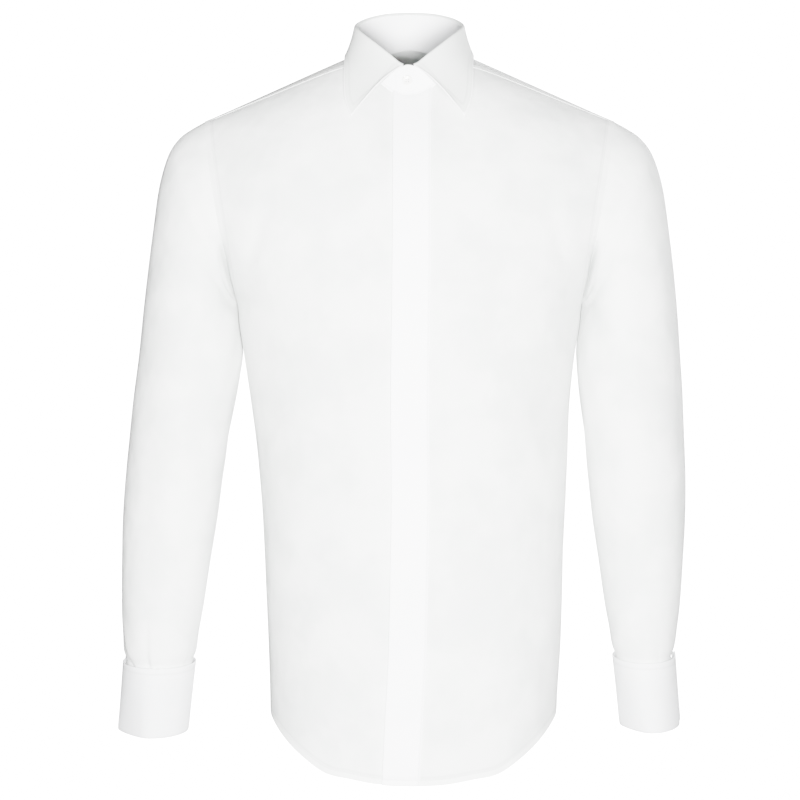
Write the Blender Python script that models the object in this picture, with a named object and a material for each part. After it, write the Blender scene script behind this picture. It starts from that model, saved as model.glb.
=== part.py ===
"""Long sleeve dress shirt with double cuffs and a fly front, hollow and in its worn shape.

Tables and sizes are in millimetres and become metres when a mesh is made. +Z is up, the front
faces -Y and +X is the wearer's left. The origin is in the middle of the neck opening, at the
height where the wearer's shoulders carry the shirt.

Each panel is a grid of points on its outer face and, at each point, a vector into the cloth.
Panels that are sewn together share their seam's points before they are parted by the seam gap.
"""

import math

import bpy
import numpy as np

MM = 0.001
WALL = 1.2  # one panel of shirt cloth
BAND = 1.5  # interfaced cloth of the collar and the cuffs
SEAM = 0.3  # between pieces that are sewn together
FRONT, BACK = -1, 1
LEFT, RIGHT = 1, -1


def table(columns, rows):
    """One array for each named column. The first column is the place that rows are read at."""
    return dict(zip(columns.split(), np.array(rows, float).T))


def read(chart, name, at):
    """A column of a table at any place, on a smooth curve through its rows."""
    places = next(iter(chart.values()))
    values = chart[name]
    slopes = np.gradient(values, places)
    row = np.clip(np.searchsorted(places, at) - 1, 0, len(places) - 2)
    step = places[row + 1] - places[row]
    t = np.clip((at - places[row]) / step, 0, 1)
    start = (1 + 2 * t) * (1 - t) ** 2 * values[row] + t * (1 - t) ** 2 * step * slopes[row]
    end = t**2 * (3 - 2 * t) * values[row + 1] - t**2 * (1 - t) * step * slopes[row + 1]
    return start + end


# The worn body. Above the armpit half_width is that of the plan curve which the armholes cut.
ARMPIT = -253.0
TORSO = table(
    "height half_width front back sway",
    [
        (-790, 155.5, 112, 113, 4.5),
        (-690, 156.5, 112, 113, 4.8),
        (-630, 159.0, 112, 112, 5.7),
        (-580, 160.6, 112, 111, 5.4),
        (-527, 162.0, 112, 110, 4.9),
        (-475, 164.4, 113, 110, 4.7),
        (-423, 167.6, 115, 112, 3.4),
        (-371, 171.4, 117, 115, 1.2),
        (-319, 177.6, 118, 117, 0.0),
        (-285, 182.5, 118, 118, 0.0),
        (ARMPIT, 187.0, 118, 118, 0.0),
        (-235, 197.0, 118, 118, 0.0),
        (-205, 214.0, 118, 118, 0.0),
        (-165, 232.0, 118, 118, 0.0),
        (60, 240.0, 118, 118, 0.0),
    ],
)
ROUNDING = 2.4  # power of the plan curve: 2 is an ellipse, more is squarer
RIDGE_TOP = 31.5  # where the shoulder lines would meet
RIDGE_SLOPE = 0.447
RIDGE_ROUND = 12.0
ROLL = 2.6  # power of the curve from the armpit's height over to the shoulder line
FRONT_LIFT, BACK_LIFT = -37.5, 28.5  # the neck edge drops at the front and climbs at the back
BACK_LIFT_POWER = 5  # keeps the climb close to the neck
LIFT_SPREAD = 45.0
HEM = table(
    "share front back",
    [
        (0.00, -765, -780),
        (0.20, -764, -779),
        (0.42, -759, -774),
        (0.60, -754, -768),
        (0.74, -741, -752),
        (0.88, -724, -730),
        (1.00, -705, -705),
    ],
)

ARM_STEPS = 36  # round the armhole and the sleeve
PIT_X, TIP_X = 187.0, 219.0  # armhole seam at the armpit and at the shoulder
LOWER_ROWS = 16  # hem to armpit
COLUMNS = 8  # placket or middle to side seam
FRONT_SEAM_STEP = 17  # armhole steps from the armpit up to the front yoke seam
BACK_SEAM_STEP = 13
NECK_CORNER_STEP = 14
NECK_HALF, NECK_FRONT, NECK_BACK = 61.0, 60.0, 61.0
YOKE_NECK_TURN = math.radians(14.5)  # the front yoke seam, forward of the shoulder ridge
YOKE_BACK_TURN = math.radians(53.5)
SEAM_BOW = {FRONT: 1, BACK: 2}  # the front seam is straight, and the back one bows down at its ends
YOKE_HALVES = 2  # yoke rows to an armhole step

# The middle of the fly placket across the body, and what lies on both sides of it.
PLACKET = table(
    "height middle",
    [
        (-770, -11.4),
        (-680, -7.5),
        (-625, -5.5),
        (-560, -3.5),
        (-420, 0.0),
        (-320, 3.0),
        (-250, 4.0),
        (60, 4.0),
    ],
)
OVER_LAP = (-20.0, -7.0, 7.0, 20.0)
UNDER_LAP = (-15.0, -2.0, 11.0, 24.0)
UNDER_DEPTH = WALL + SEAM + 0.3
PLACKET_GAP = 0.4

# Stations of a sleeve: outer and inner end of the ring in the front view, its middle from
# front to back, its half depth and how far its front edge hangs below its back edge.
SLEEVE = table(
    "station outer_x outer_z inner_x inner_z middle_y depth tilt",
    [
        (0, 219.0, -67.3, 187.0, -253.0, 0.0, 61.0, 0.0),
        (1, 233.0, -75.0, 188.0, -255.5, 0.0, 63.0, 0.0),
        (2, 245.5, -83.5, 189.0, -258.0, 0.0, 64.0, 0.0),
        (3, 256.5, -97.0, 189.8, -261.0, -1.0, 64.5, 0.0),
        (4, 264.5, -116.0, 190.0, -265.0, -1.0, 65.0, 0.0),
        (5, 271.0, -142.0, 188.8, -270.0, -2.0, 65.5, 0.0),
        (6, 276.5, -180.0, 186.6, -277.0, -3.0, 65.5, 0.0),
        (7, 282.0, -222.0, 184.4, -287.0, -4.0, 65.5, 0.0),
        (8, 287.0, -268.0, 182.0, -301.0, -6.0, 65.0, 0.0),
        (9, 291.5, -318.0, 180.2, -321.0, -8.0, 64.0, 0.0),
        (10, 295.5, -358.0, 184.0, -358.0, -11.0, 62.0, 0.0),
        (11, 298.5, -400.0, 190.0, -400.0, -15.0, 60.0, 0.0),
        (12, 301.0, -445.0, 196.0, -445.0, -21.0, 57.5, 0.0),
        (13, 301.5, -490.0, 201.2, -490.0, -28.0, 54.5, 0.01),
        (14, 299.8, -535.0, 208.0, -535.0, -36.0, 51.0, 0.02),
        (15, 297.5, -580.0, 214.5, -580.0, -43.0, 47.0, 0.04),
        (16, 295.0, -608.0, 219.5, -608.0, -47.5, 43.5, 0.05),
        (17, 293.0, -627.5, 222.5, -627.5, -50.5, 38.5, 0.06),
        (18, 289.4, -638.5, 226.6, -638.5, -52.0, 34.3, 0.06),
        (19, 288.6, -647.5, 227.4, -647.5, -53.0, 33.5, 0.06),
    ],
)
SEAM_FADE = 8  # stations over which the armhole's own outline turns into an oval

# How the two sleeves differ: how far each hangs out, how much wider and how much higher its
# wrist is. The last two grow between the wrist stations.
HANG = {
    LEFT: table("station out", [(0, 0), (9, 0), (11, -2.7), (12.5, -4.0), (17, -6.0), (19, -6.0)]),
    RIGHT: table("station out", [(0, 0), (9, 0), (11, 2.7), (12.5, 5.0), (17, 9.5), (19, 9.5)]),
}
WRIST_STATIONS = (12.0, 17.0)
WRIST_WIDEN = {LEFT: -1.3, RIGHT: 4.5}
WRIST_RAISE = {LEFT: 5.0, RIGHT: -3.0}

# Pleats above the cuffs: place round the sleeve in degrees (0 outside, 90 front), depth, width.
PLEATS = {
    RIGHT: table("around depth width", [(31, 4.5, 9), (66, 2.2, 7)]),
    LEFT: table("around depth width", [(196, 1.8, 9), (345, 4.0, 9)]),
}
PLEAT_STATIONS = (14.5, 18.0)
GAUNTLET_STEPS = slice(29, 33)
GAUNTLET_STATIONS = slice(13, 19)

# Section of a turned-back cuff: out from the sleeve's end, and down from the cuff's rim.
CUFF_SECTION = table(
    "out down",
    [
        (4.4, 0.0),
        (3.4, 30.0),
        (2.9, 68.0),
        (2.3, 73.0),
        (0.7, 75.0),
        (-0.9, 73.0),
        (-1.4, 68.0),
        (-1.4, 8.4),
        (0.0, 8.4),
        (0.0, 68.0),
        (0.7, 71.6),
        (1.4, 68.0),
        (1.9, 30.0),
        (2.9, 0.0),
    ],
)
CUFF_STEPS = 24
CUFF_GAP_AT = math.radians(-35.0)  # the link side, behind the outer edge
CUFF_LIP_HALF, CUFF_LIP_ROUND, CUFF_LIP_LENGTH = 2.0, 6.0, 3.5
CUFF_RIM = {"x": 258.0, "y": -52.0, "z": -639.5, "wide": 30.8, "deep": 33.7}
CUFF_END = {"x": 264.5, "y": -61.0, "z": -713.0, "wide": 31.2, "deep": 33.0}
CUFF_TILT = 0.06

# The collar. around is the place round the neck: 0 front, 90 the wearer's left, 180 back. The
# last row mirrors the one before the back, so that the curve is level across the middle.
STAND_TOP = table(
    "around height",
    [
        (0, -9.5),
        (9, -7.0),
        (22, 2.5),
        (45, 17.5),
        (70, 28.5),
        (90, 33.5),
        (113, 39.0),
        (135, 44.2),
        (156, 47.8),
        (180, 48.8),
        (204, 47.8),
    ],
)
STAND_HALF, STAND_FRONT, STAND_BACK = 57.0, 57.5, 56.5
STAND_WALL = 1.2
STAND_OVER, STAND_UNDER = -13.0, 372.0
STAND_STEPS = 48
TUCK_FROM, TUCK_TO = 300.0, 340.0
STAND_SEAT = 0.6  # the stand's foot, in from the neck edge
STAND_LIFT = 0.85  # and above it
FOLD = STAND_WALL / 2 + SEAM + BAND  # outer radius of the fold over the stand
LEAF_START = 6.0
LEAF_STEPS = 40
LEAF_DROP_STEPS = 6
LEAF_EDGE = table(
    "around across turn proud",
    [
        (6, 59.5, -40.0, 4.2),
        (20, 65.5, -33.5, 4.2),
        (38, 67.5, -26.5, 4.2),
        (60, 67.5, -16.0, 4.2),
        (90, 67.0, 0.0, 4.2),
        (113, 61.5, 10.7, 5.1),
        (135, 47.6, 19.3, 7.4),
        (156, 27.2, 26.4, 7.5),
        (180, 0.0, 30.4, 5.3),
        (204, -27.2, 26.4, 7.5),
    ],
)
LEAF_FRONT_BEND = np.array([27.0, -71.0, -13.0])
LEAF_BEND_FADE = 15.0
LEAF_FLARE = 0.04  # how far it leaves the stand below the fold, for each unit of its drop

BUTTON_RADIUS, BUTTON_THICK = 5.4, 2.2


def ridge(x):
    """Height of the shoulder line."""
    return RIDGE_TOP - RIDGE_SLOPE * np.sqrt(x**2 + RIDGE_ROUND**2)


def plan_share(x, height):
    """How much of the body's depth is left at x, from 1 in the middle to 0 at the side."""
    share = np.clip(np.abs(x) / read(TORSO, "half_width", height), 0, 1)
    return (1 - share**ROUNDING) ** (1 / ROUNDING)


def body(x, height, face):
    """Points of the worn body. height is a point's height before the neck's lift."""
    rise = np.clip((height - ARMPIT) / (ridge(x) - ARMPIT), 0, 1)
    roll = np.sqrt(1 - rise**ROLL)
    deep = np.where(face < 0, read(TORSO, "front", height), read(TORSO, "back", height))
    lift = np.where(face < 0, FRONT_LIFT * rise, BACK_LIFT * rise**BACK_LIFT_POWER)
    lift *= 2 * roll * np.exp(-((x / LIFT_SPREAD) ** 2))
    y = face * deep * plan_share(x, height) * roll
    return np.stack([x, y, height + lift], -1)


def turned(x, turn):
    """Points of the body above the armpit: turn goes from the ridge, minus to the front."""
    height = ARMPIT + (ridge(x) - ARMPIT) * np.cos(turn)
    return body(x, height, np.sign(turn))


def turn_at(share):
    """The turn at which the body has this share of its depth, minus to the front."""
    return np.sign(share) * np.arccos((1 - share**2) ** (1 / ROLL))


def neck_height(x, face):
    """Height, before the lift, of the neck edge at x."""
    reach = NECK_FRONT if face < 0 else NECK_BACK
    deep = read(TORSO, "front", 0.0) * plan_share(x, 0.0)
    y = reach * np.sqrt(np.clip(1 - (x / NECK_HALF) ** 2, 0, 1))
    return ARMPIT + (ridge(x) - ARMPIT) * np.cos(turn_at(y / deep))


def armhole(step):
    """x and height of the armhole seam. step runs from 0 at the armpit to 18 at the tip."""
    rise = np.sin(math.pi * step / ARM_STEPS) ** 2
    x = PIT_X + (TIP_X - PIT_X) * rise
    return x, ARMPIT + (ridge(x) - ARMPIT) * rise


def across_lower(first, half_width, count):
    """x of columns at equal turns round the plan curve, from first to the side seam."""
    share = first / half_width
    start = np.sign(share) * np.arcsin(np.abs(share) ** (ROUNDING / 2))
    turns = np.linspace(start, math.pi / 2, count + 1)
    return half_width * np.sign(turns) * np.abs(np.sin(turns)) ** (2 / ROUNDING)


def hem_height(share, face):
    """Height of the hem at a share of the body's half width."""
    return read(HEM, "front" if face < 0 else "back", np.abs(share))


def panel(points, thickness, outward):
    """A panel's outer points and the vectors into its cloth. outward is a point outside it."""
    points = points.astype(float)
    normals = np.cross(np.gradient(points, axis=0), np.gradient(points, axis=1))
    normals /= np.linalg.norm(normals, axis=-1, keepdims=True)
    middle = tuple(n // 2 for n in points.shape[:2])
    if normals[middle] @ (np.array(outward) - points[middle]) < 0:
        normals = -normals
    return {"points": points, "inward": -thickness * normals}


def unit(vectors):
    return vectors / np.linalg.norm(vectors, axis=-1, keepdims=True)


def mitre(inward, apart):
    """Turns the vectors of a wall so that it stays on its own side of a seam plane."""
    crossing = np.minimum((inward * apart).sum(-1, keepdims=True), 0)
    flat = inward - crossing * apart
    depth = (inward**2).sum(-1, keepdims=True)
    return flat * np.minimum(depth / (flat * inward).sum(-1, keepdims=True), 1.5)


def sew(one, one_edge, one_next, other, other_edge):
    """Parts two panels by the seam gap along the edge that they share."""
    into = one["points"][one_next] - one["points"][one_edge]
    along = np.gradient(one["points"][one_edge], axis=0)
    apart = unit(np.cross(along, one["inward"][one_edge] + other["inward"][other_edge]))
    apart *= np.sign((apart * into).sum(-1, keepdims=True))
    one["points"][one_edge] += SEAM / 2 * apart
    other["points"][other_edge] -= SEAM / 2 * apart
    one["inward"][one_edge] = mitre(one["inward"][one_edge], apart)
    other["inward"][other_edge] = mitre(other["inward"][other_edge], -apart)


def torso_rows(face, x_start, steps, corner_step, edge_top):
    """x and height, row by row, from a front or back panel's inner line to side and armhole.

    x_start(height) is the inner line, and edge_top lists (x, height) on the neck edge.
    """
    rows = []
    for row in range(LOWER_ROWS):
        level = row / LOWER_ROWS
        guess = HEM["front"][0] + (ARMPIT - HEM["front"][0]) * level
        half_width = read(TORSO, "half_width", guess)
        share = across_lower(x_start(guess), half_width, COLUMNS) / half_width
        hem = hem_height(share, face)
        height = hem + (ARMPIT - hem) * level
        rows.append((share * read(TORSO, "half_width", height), height))
    pit_x = across_lower(x_start(ARMPIT), PIT_X, COLUMNS)
    pit_share = (pit_x - pit_x[0]) / (pit_x[-1] - pit_x[0])
    even_share = np.linspace(0, 1, COLUMNS + 1)
    for step in range(steps + 1):
        level = step / steps
        x_end, end = armhole(step)
        if step <= corner_step:
            start = ARMPIT + (edge_top[0][1] - ARMPIT) * step / corner_step
            x_first = x_start(start)
        else:
            x_first, start = edge_top[step - corner_step]
        share = pit_share * (1 - level) + even_share * level
        rows.append((x_first + (x_end - x_first) * share, start + (end - start) * share))
    return rows


def seam_turns(start_x, start_turn, step, side):
    """x and turn along a yoke seam, from its inner end to the armhole."""
    share = np.linspace(0, 1, COLUMNS + 1)
    x_end, end = armhole(step)
    start = ARMPIT + (ridge(start_x) - ARMPIT) * math.cos(start_turn)
    x = start_x + (x_end - start_x) * share
    height = start + (end - start) * share ** SEAM_BOW[side]
    return x, side * np.arccos((height - ARMPIT) / (ridge(x) - ARMPIT))


def bend_to(rows, first, x, turn):
    """Moves the rows above first smoothly so that the last one lies on a seam."""
    target = ARMPIT + (ridge(x) - ARMPIT) * np.cos(turn)
    last_x, last_height = rows[-1]
    count = len(rows) - first
    bent = rows[:first]
    for index, (row_x, height) in enumerate(rows[first:]):
        pull = ((index + 1) / count) ** 2
        bent.append((row_x + pull * (x - last_x), height + pull * (target - last_height)))
    return bent


def front_neck_end():
    """The place on the neck edge where the front yoke seam starts."""
    y = read(TORSO, "front", 0.0) * math.sqrt(1 - math.cos(YOKE_NECK_TURN) ** ROLL)
    return NECK_HALF * math.sqrt(1 - (y / NECK_FRONT) ** 2)


def make_front(side, laps):
    """Strip beside the opening and main part of a front, with x towards its own side seam."""
    top_x = side * read(PLACKET, "middle", -20.0) + np.array(laps)

    def line(lap):
        return lambda height: side * read(PLACKET, "middle", height) + lap

    corner = math.asin(top_x[-1] / NECK_HALF)
    end_x = front_neck_end()
    turns = np.linspace(corner, math.asin(end_x / NECK_HALF), FRONT_SEAM_STEP - NECK_CORNER_STEP + 1)
    edge_x = NECK_HALF * np.sin(turns)
    edge_top = [(x, neck_height(x, FRONT)) for x in edge_x]
    rows = torso_rows(FRONT, line(laps[-1]), FRONT_SEAM_STEP, NECK_CORNER_STEP, edge_top)
    seam_x, seam_turn = seam_turns(end_x, YOKE_NECK_TURN, FRONT_SEAM_STEP, FRONT)
    rows = bend_to(rows, LOWER_ROWS, seam_x, seam_turn)
    main = body(np.array([x for x, _ in rows]), np.array([h for _, h in rows]), FRONT)

    strip = []
    for row in range(LOWER_ROWS + NECK_CORNER_STEP + 1):
        inner_x, height = rows[row][0][0], rows[row][1][0]
        x = inner_x - laps[-1] + np.array(laps)
        if row < LOWER_ROWS:
            level = row / LOWER_ROWS
            hem = hem_height(x / read(TORSO, "half_width", HEM["front"][0]), FRONT)
            heights = hem + (ARMPIT - hem) * level
            heights += height - heights[-1]
        else:
            rise = (height - ARMPIT) / (edge_top[0][1] - ARMPIT)
            heights = ARMPIT + (neck_height(top_x, FRONT) - ARMPIT) * rise
        strip.append(body(x, heights, FRONT))
    strip = np.array(strip)
    main[: len(strip), 0] = strip[:, -1]
    outward = (100.0, -500.0, -300.0)
    strip, main = panel(strip, WALL, outward), panel(main, WALL, outward)
    shared = strip["inward"][:, -1] + main["inward"][: len(strip["points"]), 0]
    strip["inward"][:, -1] = WALL * unit(shared)
    main["inward"][: len(strip["points"]), 0] = strip["inward"][:, -1]
    return strip, main


def sink_under_lap(strip, main):
    """Takes the right front's edge in under the left one."""
    depth = UNDER_DEPTH / WALL
    strip["points"] += depth * strip["inward"]
    rows = len(strip["points"])
    main["points"][:rows, 0] = strip["points"][:, -1]
    for row in range(rows, len(main["points"])):
        fade = 1 - (row - rows + 1) / (len(main["points"]) - rows)
        main["points"][row, 0] += depth * fade * main["inward"][row, 0]


def make_back():
    """Half of the back, from the middle line to the wearer's left side."""
    seam_x, seam_turn = seam_turns(0.0, YOKE_BACK_TURN, BACK_SEAM_STEP, BACK)
    top = ARMPIT + (ridge(0.0) - ARMPIT) * math.cos(YOKE_BACK_TURN)
    rows = torso_rows(BACK, lambda height: 0.0, BACK_SEAM_STEP, BACK_SEAM_STEP, [(0.0, top)])
    rows = bend_to(rows, LOWER_ROWS, seam_x, seam_turn)
    points = body(np.array([x for x, _ in rows]), np.array([h for _, h in rows]), BACK)
    return panel(points, WALL, (100.0, 500.0, -300.0))


def make_yoke():
    """Half of the yoke: rows go from the front seam over the ridge to the back seam."""
    steps = ARM_STEPS // 2 - FRONT_SEAM_STEP + ARM_STEPS // 2 - BACK_SEAM_STEP
    count = steps * YOKE_HALVES
    end_x, end_turn = [], []
    for index in range(steps + 1):
        step = FRONT_SEAM_STEP + index
        x, height = armhole(min(step, ARM_STEPS - step))
        cosine = min(1.0, (height - ARMPIT) / (ridge(x) - ARMPIT))
        end_x.append(x)
        end_turn.append(math.copysign(math.acos(cosine), step - ARM_STEPS / 2))
    seam_x, seam_turn = seam_turns(front_neck_end(), YOKE_NECK_TURN, FRONT_SEAM_STEP, FRONT)
    back_x, back_turn = seam_turns(0.0, YOKE_BACK_TURN, BACK_SEAM_STEP, BACK)

    neck_rows = count * 2 // 3
    start = math.asin(front_neck_end() / NECK_HALF)
    around = np.linspace(start, math.pi, neck_rows + 1)
    neck_x = NECK_HALF * np.sin(around)
    neck_y = np.where(np.cos(around) > 0, NECK_FRONT, NECK_BACK) * -np.cos(around)
    deep = read(TORSO, "front", 0.0) * plan_share(neck_x, 0.0)
    neck_turn = turn_at(neck_y / deep)
    middle = np.linspace(neck_turn[-1], YOKE_BACK_TURN, count - neck_rows + 1)[1:]
    inner_x = np.concatenate([neck_x, np.zeros(len(middle))])
    inner_turn = np.concatenate([neck_turn, middle])

    share = np.linspace(0, 1, COLUMNS + 1)
    places = np.linspace(0, steps, count + 1)
    outer_x = np.interp(places, range(steps + 1), end_x)
    outer_turn = np.interp(places, range(steps + 1), end_turn)
    x = inner_x[:, None] + (outer_x - inner_x)[:, None] * share
    turn = inner_turn[:, None] + (outer_turn - inner_turn)[:, None] * share
    x[0], turn[0] = seam_x, seam_turn
    x[-1], turn[-1] = back_x, back_turn
    points = turned(x, turn)
    corners = points[::YOKE_HALVES, -1]
    points[1::YOKE_HALVES, -1] = (corners[:-1] + corners[1:]) / 2
    return panel(points, WALL, (150.0, 0.0, 500.0))


def sleeve_ring(station):
    """Points of one sleeve ring, from outside round the front, inside and back."""
    around = 2 * math.pi * np.arange(ARM_STEPS) / ARM_STEPS
    value = {name: read(SLEEVE, name, station) for name in SLEEVE}
    middle_x = (value["outer_x"] + value["inner_x"]) / 2
    middle_z = (value["outer_z"] + value["inner_z"]) / 2
    x = middle_x + (value["outer_x"] - value["inner_x"]) / 2 * np.cos(around)
    z = middle_z + (value["outer_z"] - value["inner_z"]) / 2 * np.cos(around)
    y = -value["depth"] * np.sin(around)
    return np.stack([x, value["middle_y"] + y, z + value["tilt"] * y], -1)


def armhole_ring():
    steps = np.arange(ARM_STEPS)
    place = np.abs(ARM_STEPS / 2 - steps)
    x, height = armhole(place)
    return body(x, height, np.where(steps <= ARM_STEPS / 2, FRONT, BACK))


def make_sleeve(side):
    """Rows are rings from the armhole to the cuff, columns go round."""
    stations = np.arange(len(SLEEVE["station"]))
    around = 2 * math.pi * np.arange(ARM_STEPS) / ARM_STEPS
    extra = armhole_ring() - sleeve_ring(0.0)
    rings = []
    for station in stations:
        fade = max(0.0, 1 - station / SEAM_FADE)
        ring = sleeve_ring(float(station)) + extra * fade**2 * (3 - 2 * fade)
        low = np.clip((station - WRIST_STATIONS[0]) / np.ptp(WRIST_STATIONS), 0, 1)
        ring[:, 0] += read(HANG[side], "out", float(station))
        ring[:, 2] += WRIST_RAISE[side] * low
        ring[:, 0] += WRIST_WIDEN[side] * low * np.cos(around)
        rings.append(ring)
    points = np.array(rings)
    points = np.concatenate([points[:, -1:], points, points[:, :1]], axis=1)
    sleeve = panel(points, WALL, (-900.0, 0.0, -300.0))
    degrees = 360 * np.arange(-1, ARM_STEPS + 1) / ARM_STEPS
    chart = PLEATS[side]
    for place, depth, width in zip(chart["around"], chart["depth"], chart["width"]):
        away = (degrees - place + 180) % 360 - 180
        across = np.exp(-((away / width) ** 2))
        down = np.clip((stations - PLEAT_STATIONS[0]) / np.ptp(PLEAT_STATIONS), 0, 1) ** 1.5
        down[-1] *= 0.0
        down[-2] *= 0.6
        sleeve["points"] += (down[:, None] * across * depth / WALL)[..., None] * sleeve["inward"]
    sleeve = panel(sleeve["points"], WALL, (-900.0, 0.0, -300.0))
    return {name: values[:, 1:-1] for name, values in sleeve.items()}


def join_armhole(front, back, yoke, sleeve):
    """Parts the sleeve's first ring from the panels round the armhole."""
    half = ARM_STEPS // 2
    owners = {}
    for step in range(FRONT_SEAM_STEP + 1):
        owners[half - step] = (front, LOWER_ROWS + step)
    for step in range(BACK_SEAM_STEP + 1):
        owners.setdefault(half + step, (back, LOWER_ROWS + step))
    yoke_rows = {}
    for index in range(len(yoke["points"]) // YOKE_HALVES + 1):
        yoke_rows[(ARM_STEPS - FRONT_SEAM_STEP + half - index) % ARM_STEPS] = index * YOKE_HALVES
        owners.setdefault((1 - index) % ARM_STEPS, (yoke, index * YOKE_HALVES))
    ring = np.array([owner["points"][row, -1] for _, (owner, row) in sorted(owners.items())])
    along = np.roll(ring, -1, axis=0) - np.roll(ring, 1, axis=0)
    for place, (owner, row) in owners.items():
        edge = owner["points"][row, -1]
        both = owner["inward"][row, -1] + sleeve["inward"][0, place]
        apart = unit(np.cross(along[place], both))
        sleeve["points"][0, place] = edge + SEAM * apart
        sleeve["inward"][0, place] = mitre(sleeve["inward"][0, place], apart)
        owner["inward"][row, -1] = mitre(owner["inward"][row, -1], -apart)
    for index in range(len(yoke["points"]) // YOKE_HALVES + 1):
        place = (1 - index) % ARM_STEPS
        owner, row = owners[place]
        yoke["inward"][index * YOKE_HALVES, -1] = owner["inward"][row, -1]
    odd = yoke["inward"][::YOKE_HALVES, -1]
    yoke["inward"][1::YOKE_HALVES, -1] = (odd[:-1] + odd[1:]) / 2
    back["inward"][LOWER_ROWS, -1] = mitre(
        back["inward"][LOWER_ROWS, -1], unit(-back["points"][LOWER_ROWS, -1] * (1, 0, 0))
    )


def mirrored(sheet):
    """The same panel on the other side of the shirt."""
    flip = np.array([-1.0, 1.0, 1.0])
    return {name: (values * flip)[:, ::-1] for name, values in sheet.items()}


def swayed(sheet):
    """The panel moved sideways as the worn body hangs."""
    points = sheet["points"].copy()
    points[..., 0] += read(TORSO, "sway", points[..., 2])
    return {"points": points, "inward": sheet["inward"]}


def node(name, vertices, faces, colour, roughness=0.85, smooth_below=40):
    """Makes the object of one piece, from points in millimetres."""
    mesh = bpy.data.meshes.new(name)
    mesh.from_pydata([tuple(v) for v in np.asarray(vertices) * MM], [], faces)
    mesh.shade_smooth()
    mesh.set_sharp_from_angle(angle=math.radians(smooth_below))
    material = bpy.data.materials.new(name + "_cloth")
    material.use_nodes = True
    shader = material.node_tree.nodes["Principled BSDF"]
    shader.inputs["Base Color"].default_value = (*colour, 1)
    shader.inputs["Roughness"].default_value = roughness
    shader.inputs["Metallic"].default_value = 0.0
    mesh.materials.append(material)
    bpy.context.scene.collection.objects.link(bpy.data.objects.new(name, mesh))


def wall(name, sheets, colour, round_tube=False):
    """Makes one closed wall from sheets, joined where their points are the same."""
    numbers, outer, inner, quads = {}, [], [], []
    for sheet in sheets:
        points, inward = sheet["points"], sheet["inward"]
        index = np.empty(points.shape[:2], int)
        for place in np.ndindex(index.shape):
            key = tuple(np.round(points[place], 4))
            if key not in numbers:
                numbers[key] = len(outer)
                outer.append(points[place])
                inner.append(points[place] + inward[place])
            index[place] = numbers[key]
        if round_tube:
            index = np.concatenate([index, index[:, :1]], axis=1)
        for row, column in np.ndindex(index.shape[0] - 1, index.shape[1] - 1):
            quad = (
                index[row, column],
                index[row, column + 1],
                index[row + 1, column + 1],
                index[row + 1, column],
            )
            quads.append(tuple(dict.fromkeys(int(i) for i in quad)))
    outer, inner = np.array(outer), np.array(inner)
    first = quads[len(quads) // 2]
    normal = np.cross(outer[first[1]] - outer[first[0]], outer[first[2]] - outer[first[0]])
    if normal @ (outer[first[0]] - inner[first[0]]) < 0:
        quads = [quad[::-1] for quad in quads]
    count = len(outer)
    edges = {(a, b) for quad in quads for a, b in zip(quad, quad[1:] + quad[:1])}
    faces = list(quads) + [tuple(i + count for i in reversed(quad)) for quad in quads]
    faces += [(b, a, a + count, b + count) for a, b in sorted(edges) if (b, a) not in edges]
    node(name, np.concatenate([outer, inner]), faces, colour)


def moved_out(sheet, gap, thickness):
    """A second layer on a panel: its inner face lies gap outside the panel's outer face."""
    normals = -unit(sheet["inward"])
    points = sheet["points"] + (gap + thickness) * normals
    return {"points": points, "inward": -thickness * normals}


def neck_edge(around):
    """Points of the neck edge on the body, around the neck in degrees from the front."""
    angle = np.radians(around)
    x = NECK_HALF * np.sin(angle)
    reach = np.where(np.cos(angle) > 0, NECK_FRONT, NECK_BACK)
    deep = read(TORSO, "front", 0.0) * plan_share(x, 0.0)
    return turned(x, turn_at(-reach * np.cos(angle) / deep))


def tucked(around):
    """How far the collar's right end lies in, to pass under its left end."""
    share = np.clip((around - TUCK_FROM) / (TUCK_TO - TUCK_FROM), 0, 1)
    return (UNDER_DEPTH * share**2 * (3 - 2 * share))[:, None]


def stand_middle(around, top_height):
    """Middle line of the stand's top edge and the direction out of the neck there."""
    angle = np.radians(around)
    reach = np.where(np.cos(angle) > 0, STAND_FRONT, STAND_BACK)
    points = np.stack([STAND_HALF * np.sin(angle), -reach * np.cos(angle), top_height], -1)
    out = np.stack([np.sin(angle), -np.cos(angle), np.zeros_like(angle)], -1)
    return points - tucked(around) * out, out


def fold_half(around):
    """The place from 0 at the front to 180 at the back, the same on both sides."""
    wrapped = np.mod(around, 360)
    return np.minimum(wrapped, 360 - wrapped)


def make_stand():
    around = np.linspace(STAND_OVER, STAND_UNDER, STAND_STEPS + 1)
    height = read(STAND_TOP, "height", fold_half(around)) - SEAM
    to_end = np.minimum(around - STAND_OVER, STAND_UNDER - around)
    height -= 9.0 * np.clip(1 - to_end / 9.0, 0, 1) ** 2
    top, out = stand_middle(around, height)
    top = top + out * STAND_WALL / 2
    foot = neck_edge(around)
    foot[:, 2] += STAND_LIFT
    foot -= out * (STAND_SEAT + tucked(around))
    rows = []
    for share in np.linspace(0, 1, 4):
        rows.append(foot + (top - foot) * share)
    return panel(np.array(rows), STAND_WALL, (0.0, 500.0, 0.0))


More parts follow.
